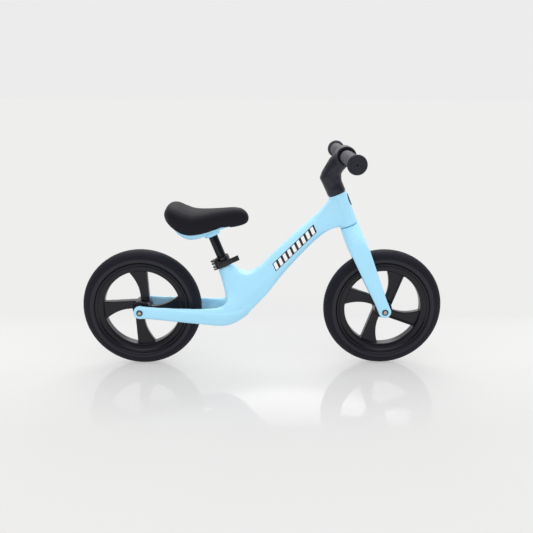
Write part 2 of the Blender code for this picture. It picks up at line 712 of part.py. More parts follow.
def stem_bolt():
    seat = HEAD_LENGTH + STEM_BOLT_SEAT + GAP
    bolt = rod("stem_bolt", seat - STEM_BOLT_LENGTH, seat + 0.002, STEM_BOLT_RADIUS, STEER_PLACE, SMALL_SIDES)
    head = rod("stem_bolt_head", seat, seat + 0.008, STEM_BOLT_HEAD, STEER_PLACE)
    combine(bolt, [head], "UNION")
    key = rod("stem_bolt_key", seat + 0.004, seat + 0.02, 0.0034, STEER_PLACE, 6)
    combine(bolt, [key], "DIFFERENCE")
    return finish(bolt, black_steel("stem_bolt_black"))


def bar_screw_place():
    """Local Z runs from the bar's centre to the hollow front of the ring."""
    return Matrix.Translation(BAR_CENTRE) @ Matrix.Rotation(radians(160), 4, "Y")


def bar_screw():
    low = BAR_RADIUS + GAP
    screw = rod("bar_screw", low, RING_RADIUS - 0.001, BAR_SCREW_RADIUS, bar_screw_place(), SMALL_SIDES)
    return finish(screw, black_steel("bar_screw_black"))


def handlebar():
    tube = sleeve("handlebar", -BAR_HALF_LENGTH, BAR_HALF_LENGTH, BAR_RADIUS - BAR_WALL, BAR_RADIUS,
                  cross_place(BAR_CENTRE))
    return finish(tube, black_steel("bar_black"))


def grip(name, side):
    """A rubber grip with a wide closed end; side is +1 on the rider's left."""
    bore = BAR_RADIUS + GAP
    face = GRIP_END
    closed = BAR_HALF_LENGTH + GAP
    rounding = 0.0015
    outline = ((bore, GRIP_INNER_END), (GRIP_RADIUS, GRIP_INNER_END), (GRIP_RADIUS, face - GRIP_FLANGE),
               (GRIP_FLANGE_RADIUS - rounding, face - GRIP_FLANGE), (GRIP_FLANGE_RADIUS, face - 0.0045),
               (GRIP_FLANGE_RADIUS, face - rounding), (GRIP_FLANGE_RADIUS - rounding, face),
               (GRIP_END_HOLE, face), (GRIP_END_HOLE, closed), (bore, closed))
    profile = [(radius, -side * height) for radius, height in outline]
    body = turned(name, profile, cross_place(BAR_CENTRE))
    return finish(body, material(name + "_rubber", (0.17, 0.16, 0.18), 0.7))


# ---------------------------------------------------------------- wheels


def rim_profile():
    """The rim's section: window wall, side faces, rolled edge and the seat of the tyre."""
    side = (
        (WINDOW_RADIUS, RIM_HALF_WIDTH),
        (RIM_EDGE_RADIUS - 0.004, RIM_EDGE_HALF),
        (RIM_EDGE_RADIUS, RIM_EDGE_HALF - 0.001),
        (RIM_EDGE_RADIUS - 0.0013, RIM_EDGE_HALF - 0.0035),
        (TYRE_SEAT_RADIUS, RIM_HALF_WIDTH - 0.003),
    )
    return side + tuple((radius, -height) for radius, height in reversed(side))


def tyre_profile():
    """The tyre's section: its foot follows the rim's seat, its crown is round."""
    seat = rim_profile()[2:5]
    foot = [(radius + GAP * 1.6, height) for radius, height in seat]
    crown = []
    centre = WHEEL_RADIUS - TYRE_HALF_WIDTH
    for degrees in (0, 28, 56, 84, 112):
        angle = radians(degrees)
        crown.append((centre + TYRE_HALF_WIDTH * cos(angle), TYRE_HALF_WIDTH * sin(angle)))
    half = crown + foot
    return half + [(radius, -height) for radius, height in reversed(half[1:])]


def spoke(name, angle):
    """One curved spoke: a straight edge on one side and a hollow edge on the other."""
    sections = []
    turn = Matrix.Rotation(angle, 4, "Z")
    for out, low, high in SPOKE_STATIONS:
        centre = turn @ Vector((out, (low + high) / 2, 0))
        sections.append(section(centre, turn @ Vector((0, 1, 0)), Vector((0, 0, 1)), (high - low) / 2,
                                SPOKE_HALF_THICKNESS, 3.0, 12))
    return loft(name, sections)


def wheel(name, axle, first_angle):
    """The one-piece moulded wheel: hub, spokes and rim."""
    place = cross_place(axle)
    body = turned(name, rim_profile(), place, WHEEL_SIDES)
    hub = rod(name + "_hub", -HUB_HALF_WIDTH, HUB_HALF_WIDTH, HUB_RADIUS, place)
    parts = [hub]
    for i in range(SPOKE_COUNT):
        arm = spoke(f"{name}_spoke_{i}", first_angle + 2 * pi * i / SPOKE_COUNT)
        arm.matrix_world = place
        parts.append(arm)
    combine(body, parts, "UNION")
    seat = HUB_HALF_WIDTH - BEARING_WIDTH
    cuts = [rod(name + "_bore", -0.1, 0.1, HUB_BORE, place)]
    for side in (1, -1):
        low, high = sorted((side * seat, side * 0.1))
        cuts.append(rod(f"{name}_seat_{side}", low, high, BEARING_RADIUS + GAP, place))
    combine(body, cuts, "DIFFERENCE")
    return finish(body, black_plastic(name + "_black"))


def tyre(name, axle):
    body = turned(name, tyre_profile(), cross_place(axle), WHEEL_SIDES)
    return finish(body, material(name + "_foam", (0.02, 0.02, 0.027), 0.85))


def bearing(name, axle, side):
    low, high = sorted((side * (HUB_HALF_WIDTH - BEARING_WIDTH + GAP), side * HUB_HALF_WIDTH))
    ring = sleeve(name, low, high, AXLE_RADIUS + GAP, BEARING_RADIUS, cross_place(axle), SMALL_SIDES)
    return finish(ring, bright_steel(name + "_steel"))


def axle_set(end, axle, inner, wall):
    """The axle between two fork or frame ends, with its spacers, washers and bolts."""
    place = cross_place(axle)
    items = [finish(sleeve(end + "_axle", -inner + GAP, inner - GAP, BOLT_RADIUS + GAP, AXLE_RADIUS, place,
                           SMALL_SIDES), bright_steel(end + "_axle_steel"))]
    outer = inner + wall
    for side, word in ((-1, "left"), (1, "right")):
        low, high = sorted((side * (HUB_HALF_WIDTH + GAP), side * (inner - GAP)))
        spacer = sleeve(f"{end}_spacer_{word}", low, high, AXLE_RADIUS + GAP, SPACER_RADIUS, place, SMALL_SIDES)
        items.append(finish(spacer, black_plastic(f"{end}_spacer_{word}_nylon")))
        low, high = sorted((side * (outer + GAP), side * (outer + GAP + WASHER_THICKNESS)))
        washer = sleeve(f"{end}_washer_{word}", low, high, BOLT_RADIUS + GAP, WASHER_RADIUS, place,
                        SMALL_SIDES)
        items.append(finish(washer, material(f"{end}_washer_{word}_steel", (0.1, 0.12, 0.12), 0.3, 1.0)))
        seat = outer + 2 * GAP + WASHER_THICKNESS
        low, high = sorted((side * (inner - BOLT_GRIP), side * (seat + BOLT_HEAD_HEIGHT / 2)))
        bolt = rod(f"{end}_bolt_{word}", low, high, BOLT_RADIUS, place, SMALL_SIDES)
        low, high = sorted((side * seat, side * (seat + BOLT_HEAD_HEIGHT)))
        head = rod(f"{end}_bolt_head_{word}", low, high, BOLT_HEAD_RADIUS, place, SMALL_SIDES)
        combine(bolt, [head], "UNION")
        items.append(finish(bolt, bright_steel(f"{end}_bolt_{word}_steel")))
    return items


def wheel_set(end, axle, first_angle):
    items = [wheel(end + "_wheel", axle, first_angle), tyre(end + "_tyre", axle)]
    items.append(bearing(end + "_bearing_left", axle, -1))
    items.append(bearing(end + "_bearing_right", axle, 1))
    return items


# ---------------------------------------------------------------- the whole bike


clear_scene()
frame()
head_badge()
bush("headset_lower_bush", 0, 1)
bush("headset_upper_bush", HEAD_LENGTH, -1)
seat_collar()
clamp_skewer()
clamp_nut()
lever_pivot()
carry(axis_empty("lever_axis", lever_place()), [clamp_lever()])
axle_set("rear", REAR_AXLE, STAY_INNER, STAY_WALL)
carry(axis_empty("post_axis", POST_PLACE), [seat_post(), saddle_base(), saddle_cushion(), *saddle_fastening()])
steering = axis_empty("steering_axis", STEER_PLACE)
front_axle_set = axle_set("front", FRONT_AXLE, LEG_INNER, LEG_WALL)
carry(steering, [fork(), steerer_tube(), steerer_plug(), stem(), stem_bolt(), bar_screw(), handlebar(),
                 grip("grip_left", 1), grip("grip_right", -1), *front_axle_set])
rear_spin = axis_empty("rear_axle_axis", cross_place(REAR_AXLE))
carry(rear_spin, wheel_set("rear", REAR_AXLE, REAR_SPOKE_ANGLE))
front_spin = axis_empty("front_axle_axis", cross_place(FRONT_AXLE))
carry(front_spin, wheel_set("front", FRONT_AXLE, FRONT_SPOKE_ANGLE))
carry(steering, [front_spin])
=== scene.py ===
"""Looks of the balance bike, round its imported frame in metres: +X forward, +Y the rider's left, +Z up."""
import json
from math import cos, pi, radians, sin

import bmesh
import bpy
import numpy as np
from mathutils import Matrix, Vector
from mathutils.geometry import interpolate_bezier


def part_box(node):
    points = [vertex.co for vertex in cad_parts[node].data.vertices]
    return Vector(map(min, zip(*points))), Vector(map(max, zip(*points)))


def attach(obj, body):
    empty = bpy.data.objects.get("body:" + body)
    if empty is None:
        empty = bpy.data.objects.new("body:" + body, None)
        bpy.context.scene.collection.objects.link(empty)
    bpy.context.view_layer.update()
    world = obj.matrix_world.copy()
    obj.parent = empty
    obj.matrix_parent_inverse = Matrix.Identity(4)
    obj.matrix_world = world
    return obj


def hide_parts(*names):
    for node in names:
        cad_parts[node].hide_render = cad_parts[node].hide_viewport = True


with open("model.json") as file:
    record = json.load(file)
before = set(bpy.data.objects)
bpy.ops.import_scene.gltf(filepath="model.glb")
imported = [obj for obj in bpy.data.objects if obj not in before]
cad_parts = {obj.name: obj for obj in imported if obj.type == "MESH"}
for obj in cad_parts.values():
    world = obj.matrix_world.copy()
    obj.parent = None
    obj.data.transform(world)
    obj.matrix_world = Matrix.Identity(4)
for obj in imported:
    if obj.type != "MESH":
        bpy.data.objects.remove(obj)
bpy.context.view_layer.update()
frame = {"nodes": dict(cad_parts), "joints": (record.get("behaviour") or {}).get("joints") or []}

# ---------------------------------------------------------------- studio
# A pale glossy floor that also glows, an even pale surround, one soft key light above and behind the
# bike, and the camera, which stands to the rider's right a little above the bars.
CAMERA_AT = (-0.0152, -1.5492, 0.6652)
CAMERA_TURN = radians(-0.9)
CAMERA_DIP = radians(15.1)
CAMERA_ROLL = radians(0.24)
CAMERA_LENS = 44.66
CAMERA_FILM = 36
# Strengths of the surround: as seen, as reflected on the camera's side and overhead, and as soft fill
SURROUND = 0.838
DARK_SIDE = 0.16
DARK_ENDS = (-0.1, 0.5)
OVERHEAD = 1.9
OVERHEAD_RISE = (0.62, 0.95)
FILL = 1.36
KEY_FROM = (0.04, 0.66, 0.75)
KEY_STRENGTH = 1.25
KEY_SPREAD = radians(46)
FLOOR_COLOUR = (0.262, 0.260, 0.257)
FLOOR_GLOW = 0.430
FLOOR_ROUGHNESS = 0.07
FLOOR_SHINE = 0.36
SHINE_ENDS = 0.34
FLOOR_REACH = 40


def make_camera():
    ahead = Vector((-sin(CAMERA_TURN) * cos(CAMERA_DIP), cos(CAMERA_TURN) * cos(CAMERA_DIP),
                    -sin(CAMERA_DIP)))
    level = Vector((cos(CAMERA_TURN), sin(CAMERA_TURN), 0))
    up = level.cross(ahead)
    right = level * cos(CAMERA_ROLL) + up * sin(CAMERA_ROLL)
    top = up * cos(CAMERA_ROLL) - level * sin(CAMERA_ROLL)
    lens = bpy.data.cameras.new("camera")
    lens.lens = CAMERA_LENS
    lens.sensor_width = CAMERA_FILM
    lens.clip_end = 2 * FLOOR_REACH
    camera = bpy.data.objects.new("camera", lens)
    bpy.context.collection.objects.link(camera)
    camera.matrix_world = Matrix.Translation(CAMERA_AT) @ Matrix((right, top, -ahead)).transposed().to_4x4()
    bpy.context.scene.camera = camera


def make_surround():
    """An even pale world that reflects as a studio: dark on the camera's side, with a lit panel overhead."""
    world = bpy.data.worlds.new("surround")
    world.use_nodes = True
    nodes, links = world.node_tree.nodes, world.node_tree.links
    path = nodes.new("ShaderNodeLightPath")
    place = nodes.new("ShaderNodeTexCoord")
    split = nodes.new("ShaderNodeSeparateXYZ")
    depth = nodes.new("ShaderNodeMapRange")
    depth.inputs["From Min"].default_value, depth.inputs["From Max"].default_value = DARK_ENDS
    depth.inputs["To Min"].default_value = DARK_SIDE
    depth.inputs["To Max"].default_value = SURROUND
    links.new(place.outputs["Generated"], split.inputs["Vector"])
    links.new(split.outputs["Y"], depth.inputs["Value"])
    mirrored = nodes.new("ShaderNodeMix")
    mirrored.inputs["A"].default_value = SURROUND
    links.new(path.outputs["Is Glossy Ray"], mirrored.inputs["Factor"])
    height = nodes.new("ShaderNodeMapRange")
    height.interpolation_type = "SMOOTHSTEP"
    height.inputs["From Min"].default_value, height.inputs["From Max"].default_value = OVERHEAD_RISE
    links.new(split.outputs["Z"], height.inputs["Value"])
    overhead = nodes.new("ShaderNodeMix")
    overhead.inputs["B"].default_value = OVERHEAD
    links.new(height.outputs["Result"], overhead.inputs["Factor"])
    links.new(depth.outputs["Result"], overhead.inputs["A"])
    links.new(overhead.outputs["Result"], mirrored.inputs["B"])
    level = nodes.new("ShaderNodeMix")
    level.inputs["B"].default_value = FILL
    links.new(path.outputs["Is Diffuse Ray"], level.inputs["Factor"])
    links.new(mirrored.outputs["Result"], level.inputs["A"])
    links.new(level.outputs["Result"], nodes["Background"].inputs["Strength"])
    nodes["Background"].inputs["Color"].default_value = (1, 1, 1, 1)
    bpy.context.scene.world = world
    bpy.context.scene.view_settings.view_transform = "Standard"


def make_key_light():
    key = bpy.data.lights.new("key", "SUN")
    key.energy = KEY_STRENGTH
    key.angle = KEY_SPREAD
    lamp = bpy.data.objects.new("key", key)
    bpy.context.collection.objects.link(lamp)
    lamp.rotation_euler = Vector(KEY_FROM).to_track_quat("Z", "Y").to_euler()


def make_floor():
    shape = bmesh.new()
    bmesh.ops.create_grid(shape, x_segments=1, y_segments=1, size=FLOOR_REACH)
    mesh = bpy.data.meshes.new("floor")
    shape.to_mesh(mesh)
    shape.free()
    floor = bpy.data.objects.new("floor", mesh)
    bpy.context.collection.objects.link(floor)
    paper = bpy.data.materials.new("floor_paper")
    paper.use_nodes = True
    nodes, links = paper.node_tree.nodes, paper.node_tree.links
    shader = nodes["Principled BSDF"]
    shader.inputs["Base Color"].default_value = (*FLOOR_COLOUR, 1)
    shader.inputs["Roughness"].default_value = FLOOR_ROUGHNESS
    shader.inputs["Emission Color"].default_value = (1, 1, 1, 1)
    shader.inputs["Emission Strength"].default_value = FLOOR_GLOW
    place = nodes.new("ShaderNodeTexCoord")
    split = nodes.new("ShaderNodeSeparateXYZ")
    fade = nodes.new("ShaderNodeMapRange")
    fade.inputs["From Max"].default_value = SHINE_ENDS
    fade.inputs["To Min"].default_value = FLOOR_SHINE
    fade.inputs["To Max"].default_value = 0
    away = nodes.new("ShaderNodeMath")
    away.operation = "ABSOLUTE"
    links.new(place.outputs["Object"], split.inputs["Vector"])
    links.new(split.outputs["Y"], away.inputs["Value"])
    links.new(away.outputs["Value"], fade.inputs["Value"])
    links.new(fade.outputs["Result"], shader.inputs["Specular IOR Level"])
    mesh.materials.append(paper)


make_camera()
make_surround()
make_key_light()
make_floor()

# ---------------------------------------------------------------- frame moulding
# One hollow nylon moulding: two rear stays, a seat stump and a swooping main tube that ends in the head
# tube. It is pale blue right through, with a raised line along each stay, and its joins run smooth.
FRAME_BLUE = (0.385, 0.735, 0.950)
FRAME_VOXEL = 0.0016
FRAME_ROUNDS = 30
FLANK_WIDTH = 0.010
FLANK_CELL = 0.002
FLANK_ROUNDS = 14
EDGE_ROUNDS = 3
SMOOTHING_LOSS = 0.0003
# The raised line on the stay: distance ahead of the origin and height of the line
STAY_LINE = ((-0.200, 0.1515), (-0.167, 0.1480), (-0.138, 0.1465), (-0.115, 0.1430), (-0.092, 0.1420),
             (-0.069, 0.1430), (-0.053, 0.1455), (-0.040, 0.1525), (-0.028, 0.1670), (-0.019, 0.1810))
STAY_LINE_SOFTNESS = 0.008
STAY_LINE_STEP = 0.0019
STAY_LINE_FADE = 0.026

joints = {joint["name"]: joint for joint in frame["joints"]}
HEAD_FOOT = Vector(joints["steering_turn"]["pos_m"])
STEER_UP = Vector(joints["steering_turn"]["axis"])
STEER_AHEAD = Vector((STEER_UP.z, 0, -STEER_UP.x))
HEAD_LENGTH = 0.0803
HEAD_REACH = 0.030
POST_UP = Vector(joints["seat_height"]["axis"])
REAR_AXLE = Vector(joints["rear_wheel_spin"]["pos_m"])
FRONT_AXLE = Vector(joints["front_wheel_spin"]["pos_m"])
# On the post's axis, at the shoulder of the seat stump under the neck that the collar goes round
SEAT_SHOULDER = Vector((-0.0906, 0, 0.2502))


def make_grain_group():
    """Fine surface grain and slow mottling that every moulded finish uses, each from 0 to 1."""
    group = bpy.data.node_groups.new("moulded_grain", "ShaderNodeTree")
    for socket, value in (("Grain Scale", 900.0), ("Mottle Scale", 18.0)):
        made = group.interface.new_socket(socket, in_out="INPUT", socket_type="NodeSocketFloat")
        made.default_value = value
    group.interface.new_socket("Grain", in_out="OUTPUT", socket_type="NodeSocketFloat")
    group.interface.new_socket("Mottle", in_out="OUTPUT", socket_type="NodeSocketFloat")
    nodes, links = group.nodes, group.links
    inlet = nodes.new("NodeGroupInput")
    outlet = nodes.new("NodeGroupOutput")
    place = nodes.new("ShaderNodeTexCoord")
    for socket, result, detail in (("Grain Scale", "Grain", 2.0), ("Mottle Scale", "Mottle", 3.0)):
        noise = nodes.new("ShaderNodeTexNoise")
        noise.inputs["Detail"].default_value = detail
        links.new(place.outputs["Object"], noise.inputs["Vector"])
        links.new(inlet.outputs[socket], noise.inputs["Scale"])
        links.new(noise.outputs["Fac"], outlet.inputs[result])
    return group


grain_group = make_grain_group()


def moulded_finish(name, colour, roughness, grain=900.0, depth=0.00004, variation=0.05, spread=0.05,
                   coat=0.0, shine=0.5):
    """A moulded or painted skin: fine grain in the bump, slow mottling in colour and gloss."""
    finish = bpy.data.materials.new(name)
    finish.use_nodes = True
    nodes, links = finish.node_tree.nodes, finish.node_tree.links
    shader = nodes["Principled BSDF"]
    skin = nodes.new("ShaderNodeGroup")
    skin.node_tree = grain_group
    skin.inputs["Grain Scale"].default_value = grain
    tint = nodes.new("ShaderNodeMix")
    tint.data_type = "RGBA"
    tint.inputs["A"].default_value = (*(part * (1 - variation) for part in colour), 1)
    tint.inputs["B"].default_value = (*(min(part * (1 + variation), 1) for part in colour), 1)
    gloss = nodes.new("ShaderNodeMapRange")
    gloss.inputs["To Min"].default_value = roughness - spread
    gloss.inputs["To Max"].default_value = roughness + spread
    bump = nodes.new("ShaderNodeBump")
    bump.inputs["Strength"].default_value = 0.6
    bump.inputs["Distance"].default_value = depth
    links.new(skin.outputs["Mottle"], tint.inputs["Factor"])
    links.new(skin.outputs["Mottle"], gloss.inputs["Value"])
    links.new(skin.outputs["Grain"], bump.inputs["Height"])
    links.new(tint.outputs["Result"], shader.inputs["Base Color"])
    links.new(gloss.outputs["Result"], shader.inputs["Roughness"])
    links.new(bump.outputs["Normal"], shader.inputs["Normal"])
    shader.inputs["Specular IOR Level"].default_value = shine
    shader.inputs["Coat Weight"].default_value = coat
    shader.inputs["Coat Roughness"].default_value = 0.12
    return finish


def add_piece(name, mesh, body, finish, replaced=()):
    """Link a finished mesh as a piece of the bike that rides on a body."""
    piece = bpy.data.objects.new(name, mesh)
    bpy.context.collection.objects.link(piece)
    mesh.materials.clear()
    mesh.materials.append(finish)
    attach(piece, body)
    if replaced:
        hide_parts(*replaced)
    return piece


def mesh_of(shape, name, sharp=35):
    """Turn a bmesh into a mesh with its faces out, smooth but for its edges."""
    bmesh.ops.recalc_face_normals(shape, faces=shape.faces)
    mesh = bpy.data.meshes.new(name)
    shape.to_mesh(mesh)
    shape.free()
    mesh.shade_smooth()
    mesh.set_sharp_from_angle(angle=radians(sharp))
    return mesh


def even_skin(mesh, voxel, cutters=()):
    """The same solid as one even skin of small faces, after cutting the cutters' meshes from it."""
    solid = bpy.data.objects.new("solid", mesh)
    bpy.context.collection.objects.link(solid)
    tools = []
    for cutter in cutters:
        tool = bpy.data.objects.new("tool", cutter)
        bpy.context.collection.objects.link(tool)
        tools.append(tool)
        cut = solid.modifiers.new("cut", "BOOLEAN")
        cut.operation = "DIFFERENCE"
        cut.solver = "EXACT"
        cut.object = tool
    skin = solid.modifiers.new("skin", "REMESH")
    skin.mode = "VOXEL"
    skin.voxel_size = voxel
    bpy.context.view_layer.update()
    evaluated = solid.evaluated_get(bpy.context.evaluated_depsgraph_get())
    finished = bpy.data.meshes.new_from_object(evaluated)
    for item in (solid, *tools):
        bpy.data.objects.remove(item)
    return finished


def packed_copy(*nodes):
    """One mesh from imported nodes, with its loose triangles merged."""
    shape = bmesh.new()
    for node in nodes:
        shape.from_mesh(frame["nodes"][node].data)
    bmesh.ops.remove_doubles(shape, verts=shape.verts, dist=0.00001)
    mesh = bpy.data.meshes.new(nodes[0])
    shape.to_mesh(mesh)
    shape.free()
    return mesh


def points_of(mesh):
    flat = np.zeros(len(mesh.vertices) * 3, np.float32)
    mesh.vertices.foreach_get("co", flat)
    return flat.reshape(-1, 3).astype(float)


def normals_of(mesh):
    flat = np.zeros(len(mesh.vertices) * 3, np.float32)
    mesh.vertex_normals.foreach_get("vector", flat)
    return flat.reshape(-1, 3).astype(float)


def set_points(mesh, points):
    mesh.vertices.foreach_set("co", points.astype(np.float32).ravel())
    mesh.update()


def relax(mesh, rounds, freedom=None):
    """Smooth the skin towards its neighbours' average; freedom from 0 to 1 holds parts of it still."""
    ends = np.zeros(len(mesh.edges) * 2, np.int32)
    mesh.edges.foreach_get("vertices", ends)
    first, second = ends.reshape(-1, 2).T
    count = len(mesh.vertices)
    neighbours = np.maximum(np.bincount(first, minlength=count) + np.bincount(second, minlength=count), 1)
    share = 0.5 if freedom is None else 0.5 * freedom[:, None]
    points = points_of(mesh)
    for _ in range(rounds):
        total = np.empty_like(points)
        for axis in range(3):
            total[:, axis] = (np.bincount(first, points[second, axis], count)
                              + np.bincount(second, points[first, axis], count))
        points += share * (total / neighbours[:, None] - points)
    set_points(mesh, points)


def ease(value, low, high):
    """0 below low, 1 above high and a smooth rise between them."""
    share = np.clip((value - low) / (high - low), 0, 1)
    return share * share * (3 - 2 * share)


def along(points, start, direction):
    return (points - np.array(start)) @ np.array(direction)


def away_from_axle(points, axle, low, high):
    return ease(np.hypot(points[:, 0] - axle.x, points[:, 2] - axle.z), low, high)


def frame_freedom(points):
    """Free in the middle of the moulding and held at the head tube's, post's and axle's edges."""
    up = along(points, HEAD_FOOT, STEER_UP)
    out = along(points, HEAD_FOOT, STEER_AHEAD)
    ends = np.minimum(ease(np.abs(up), 0.002, 0.012), ease(np.abs(up - HEAD_LENGTH), 0.002, 0.012))
    free = np.where(np.abs(out) < HEAD_REACH, ends, 1)
    free = np.minimum(free, away_from_axle(points, REAR_AXLE, 0.017, 0.034))
    return np.minimum(free, 1 - ease(along(points, SEAT_SHOULDER, POST_UP), -0.014, -0.003))


def raise_stay_line(mesh):
    """Push out the flank below the line along each stay, sharply at the line and fading below it."""
    points, normals = points_of(mesh), normals_of(mesh)
    ahead, height = np.array(STAY_LINE).T
    shifts = np.linspace(-STAY_LINE_SOFTNESS, STAY_LINE_SOFTNESS, 7)
    line = np.mean([np.interp(points[:, 0] + shift, ahead, height) for shift in shifts], axis=0)
    lean = 1 / np.hypot(1, np.interp(points[:, 0], ahead, np.gradient(height, ahead)))
    below = (line - points[:, 2]) * lean
    flank = ease(normals[:, 1] * np.sign(points[:, 1]), 0.25, 0.7) * ease(np.abs(points[:, 1]), 0.026, 0.032)
    reach = ease(points[:, 0], -0.225, -0.175) * (1 - ease(points[:, 0], -0.036, -0.012))
    lift = STAY_LINE_STEP * ease(below, -0.0004, 0.0024) * (1 - ease(below, 0.006, STAY_LINE_FADE))
    set_points(mesh, points + normals * (lift * flank * reach)[:, None])


def spread_out(grid, cells):
    """Blur a grid of numbers with a bell curve that is the given number of cells wide."""
    reach = int(3 * cells)
    bell = np.exp(-0.5 * (np.arange(-reach, reach + 1) / cells) ** 2)
    bell /= bell.sum()
    for axis in (0, 1):
        grid = np.apply_along_axis(lambda line: np.convolve(line, bell, "same"), axis, grid)
    return grid


def even_flanks(mesh, freedom, width):
    """Make each flank one broad even surface: its distance from the middle plane is averaged nearby."""
    points, normals = points_of(mesh), normals_of(mesh)
    origin = points.min(axis=0) - 4 * width
    size = np.ceil((points.max(axis=0) + 4 * width - origin) / FLANK_CELL).astype(int)
    column = ((points[:, 0] - origin[0]) / FLANK_CELL).astype(int)
    row = ((points[:, 2] - origin[2]) / FLANK_CELL).astype(int)
    cells = width / FLANK_CELL
    for side in (-1, 1):
        facing = normals[:, 1] * side
        flank = (facing > 0.5) & (points[:, 1] * side > 0.008)
        total, count = np.zeros((size[0], size[2])), np.zeros((size[0], size[2]))
        np.add.at(total, (column[flank], row[flank]), points[flank, 1])
        np.add.at(count, (column[flank], row[flank]), 1)
        mean = spread_out(total, cells) / np.maximum(spread_out(count, cells), 1e-9)
        move = freedom * ease(facing, 0.15, 0.75) * (points[:, 1] * side > 0.006)
        points[:, 1] += move * (mean[column, row] - points[:, 1])
    set_points(mesh, points)


def flank_freedom(points):
    """Where the flanks are evened: the knee and seat stump, and the main tube's upper end."""
    up = along(points, HEAD_FOOT, STEER_UP)
    out = along(points, HEAD_FOOT, STEER_AHEAD)
    knee = ease(points[:, 0], -0.105, -0.080) * (1 - ease(points[:, 0], 0.010, 0.050))
    knee *= 1 - ease(along(points, SEAT_SHOULDER, POST_UP), -0.040, -0.012)
    knee *= ease(points[:, 2], 0.136, 0.152)
    head = ease(out, -0.075, -0.050) * (1 - ease(out, -0.012, 0.0))
    head *= np.minimum(ease(up, 0.002, 0.010), 1 - ease(up, HEAD_LENGTH - 0.012, HEAD_LENGTH - 0.002))
    return np.maximum(knee, head)


def make_frame_moulding():
    mesh = even_skin(packed_copy("frame"), FRAME_VOXEL)
    free = frame_freedom(points_of(mesh))
    relax(mesh, EDGE_ROUNDS)
    relax(mesh, FRAME_ROUNDS, free)
    even_flanks(mesh, flank_freedom(points_of(mesh)), FLANK_WIDTH)
    relax(mesh, FLANK_ROUNDS, free)
    set_points(mesh, points_of(mesh) + normals_of(mesh) * (free * SMOOTHING_LOSS)[:, None])
    raise_stay_line(mesh)
    relax(mesh, 1)
    mesh.shade_smooth()
    return add_piece("frame_moulding", mesh, "frame", frame_finish, ["frame"])


frame_finish = moulded_finish("pale_blue_nylon", FRAME_BLUE, 0.36, 700, 0.00003, 0.015, 0.03, 0.1)
frame_moulding = make_frame_moulding()

# ---------------------------------------------------------------- main tube graphic
# A printed film on each flank of the main tube: a slanted black field with white speed bars and no
# lettering. It is a thin skin that follows the tube and is cut to its outline.
GRAPHIC_START = Vector((0.0272, 0, 0.2503))
GRAPHIC_END = Vector((0.1234, 0, 0.3459))
GRAPHIC_HALF = 0.0095
GRAPHIC_SLANT = 0.007
GRAPHIC_LIFT = 0.00018
GRAPHIC_BARS = 9
# The white part of each bar's pitch, and the black border above and below the bars
BAR_WHITE = (0.14, 0.72)
BAR_BORDER = 0.0014
FILM_BLACK = (0.012, 0.012, 0.016)
FILM_WHITE = (0.86, 0.87, 0.88)


def make_graphic(side):
    """The moulding's own flank, cut to the outline and lifted off it by the film's thickness."""
    run = GRAPHIC_END - GRAPHIC_START
    length = run.length
    run = run.normalized()
    across = Vector((-run.z, 0, run.x))
    slant = (across * GRAPHIC_HALF * 2 + run * GRAPHIC_SLANT).normalized()
    end_normal = Vector((slant.z, 0, -slant.x))
    shape = bmesh.new()
    shape.from_mesh(frame_moulding.data)
    far = [face for face in shape.faces if face.normal.y * side < 0.3 or
           not -0.02 < (face.calc_center_median() - GRAPHIC_START).dot(run) < length + 0.02]
    bmesh.ops.delete(shape, geom=far, context="FACES")
    cuts = ((GRAPHIC_START, -end_normal), (GRAPHIC_END, end_normal),
            (GRAPHIC_START - across * GRAPHIC_HALF, -across), (GRAPHIC_START + across * GRAPHIC_HALF, across))
    for point, outward in cuts:
        everything = shape.verts[:] + shape.edges[:] + shape.faces[:]
        bmesh.ops.bisect_plane(shape, geom=everything, dist=1e-7, plane_co=point, plane_no=outward,
                               clear_outer=True)
    for vert in shape.verts:
        vert.co += vert.normal * GRAPHIC_LIFT
    mesh = bpy.data.meshes.new("graphic")
    shape.to_mesh(mesh)
    shape.free()
    mesh.shade_smooth()
    return mesh


def print_over(finish, colour, make_mask):
    """Print a colour over a finish where the mask that make_mask works out from the surface is 1."""
    nodes, links = finish.node_tree.nodes, finish.node_tree.links
    place = nodes.new("ShaderNodeTexCoord")

    def compute(operation, first, second=0.0):
        step = nodes.new("ShaderNodeMath")
        step.operation = operation
        for socket, value in zip(step.inputs, (first, second)):
            if isinstance(value, (int, float)):
                socket.default_value = value
            else:
                links.new(value, socket)
        return step.outputs["Value"]

    def distance(direction, origin):
        dot = nodes.new("ShaderNodeVectorMath")
        dot.operation = "DOT_PRODUCT"
        dot.inputs[1].default_value = direction
        links.new(place.outputs["Object"], dot.inputs[0])
        return compute("SUBTRACT", dot.outputs["Value"], origin.dot(direction))

    paint = nodes.new("ShaderNodeMix")
    paint.data_type = "RGBA"
    paint.inputs["B"].default_value = (*colour, 1)
    shader = nodes["Principled BSDF"]
    links.new(shader.inputs["Base Color"].links[0].from_socket, paint.inputs["A"])
    links.new(make_mask(compute, distance), paint.inputs["Factor"])
    links.new(paint.outputs["Result"], shader.inputs["Base Color"])


def bar_mask(compute, distance):
    """Slanted, even bars inside a thin border."""
    run = GRAPHIC_END - GRAPHIC_START
    pitch = run.length / GRAPHIC_BARS
    run.normalize()
    height = distance(Vector((-run.z, 0, run.x)), GRAPHIC_START)
    lean = compute("MULTIPLY", height, GRAPHIC_SLANT / (2 * GRAPHIC_HALF))
    travel = compute("SUBTRACT", distance(run, GRAPHIC_START), lean)
    phase = compute("FRACT", compute("DIVIDE", travel, pitch))
    start, end = BAR_WHITE
    inside = compute("MULTIPLY", compute("GREATER_THAN", phase, start), compute("LESS_THAN", phase, end))
    border = compute("LESS_THAN", compute("ABSOLUTE", height), GRAPHIC_HALF - BAR_BORDER)
    return compute("MULTIPLY", inside, border)


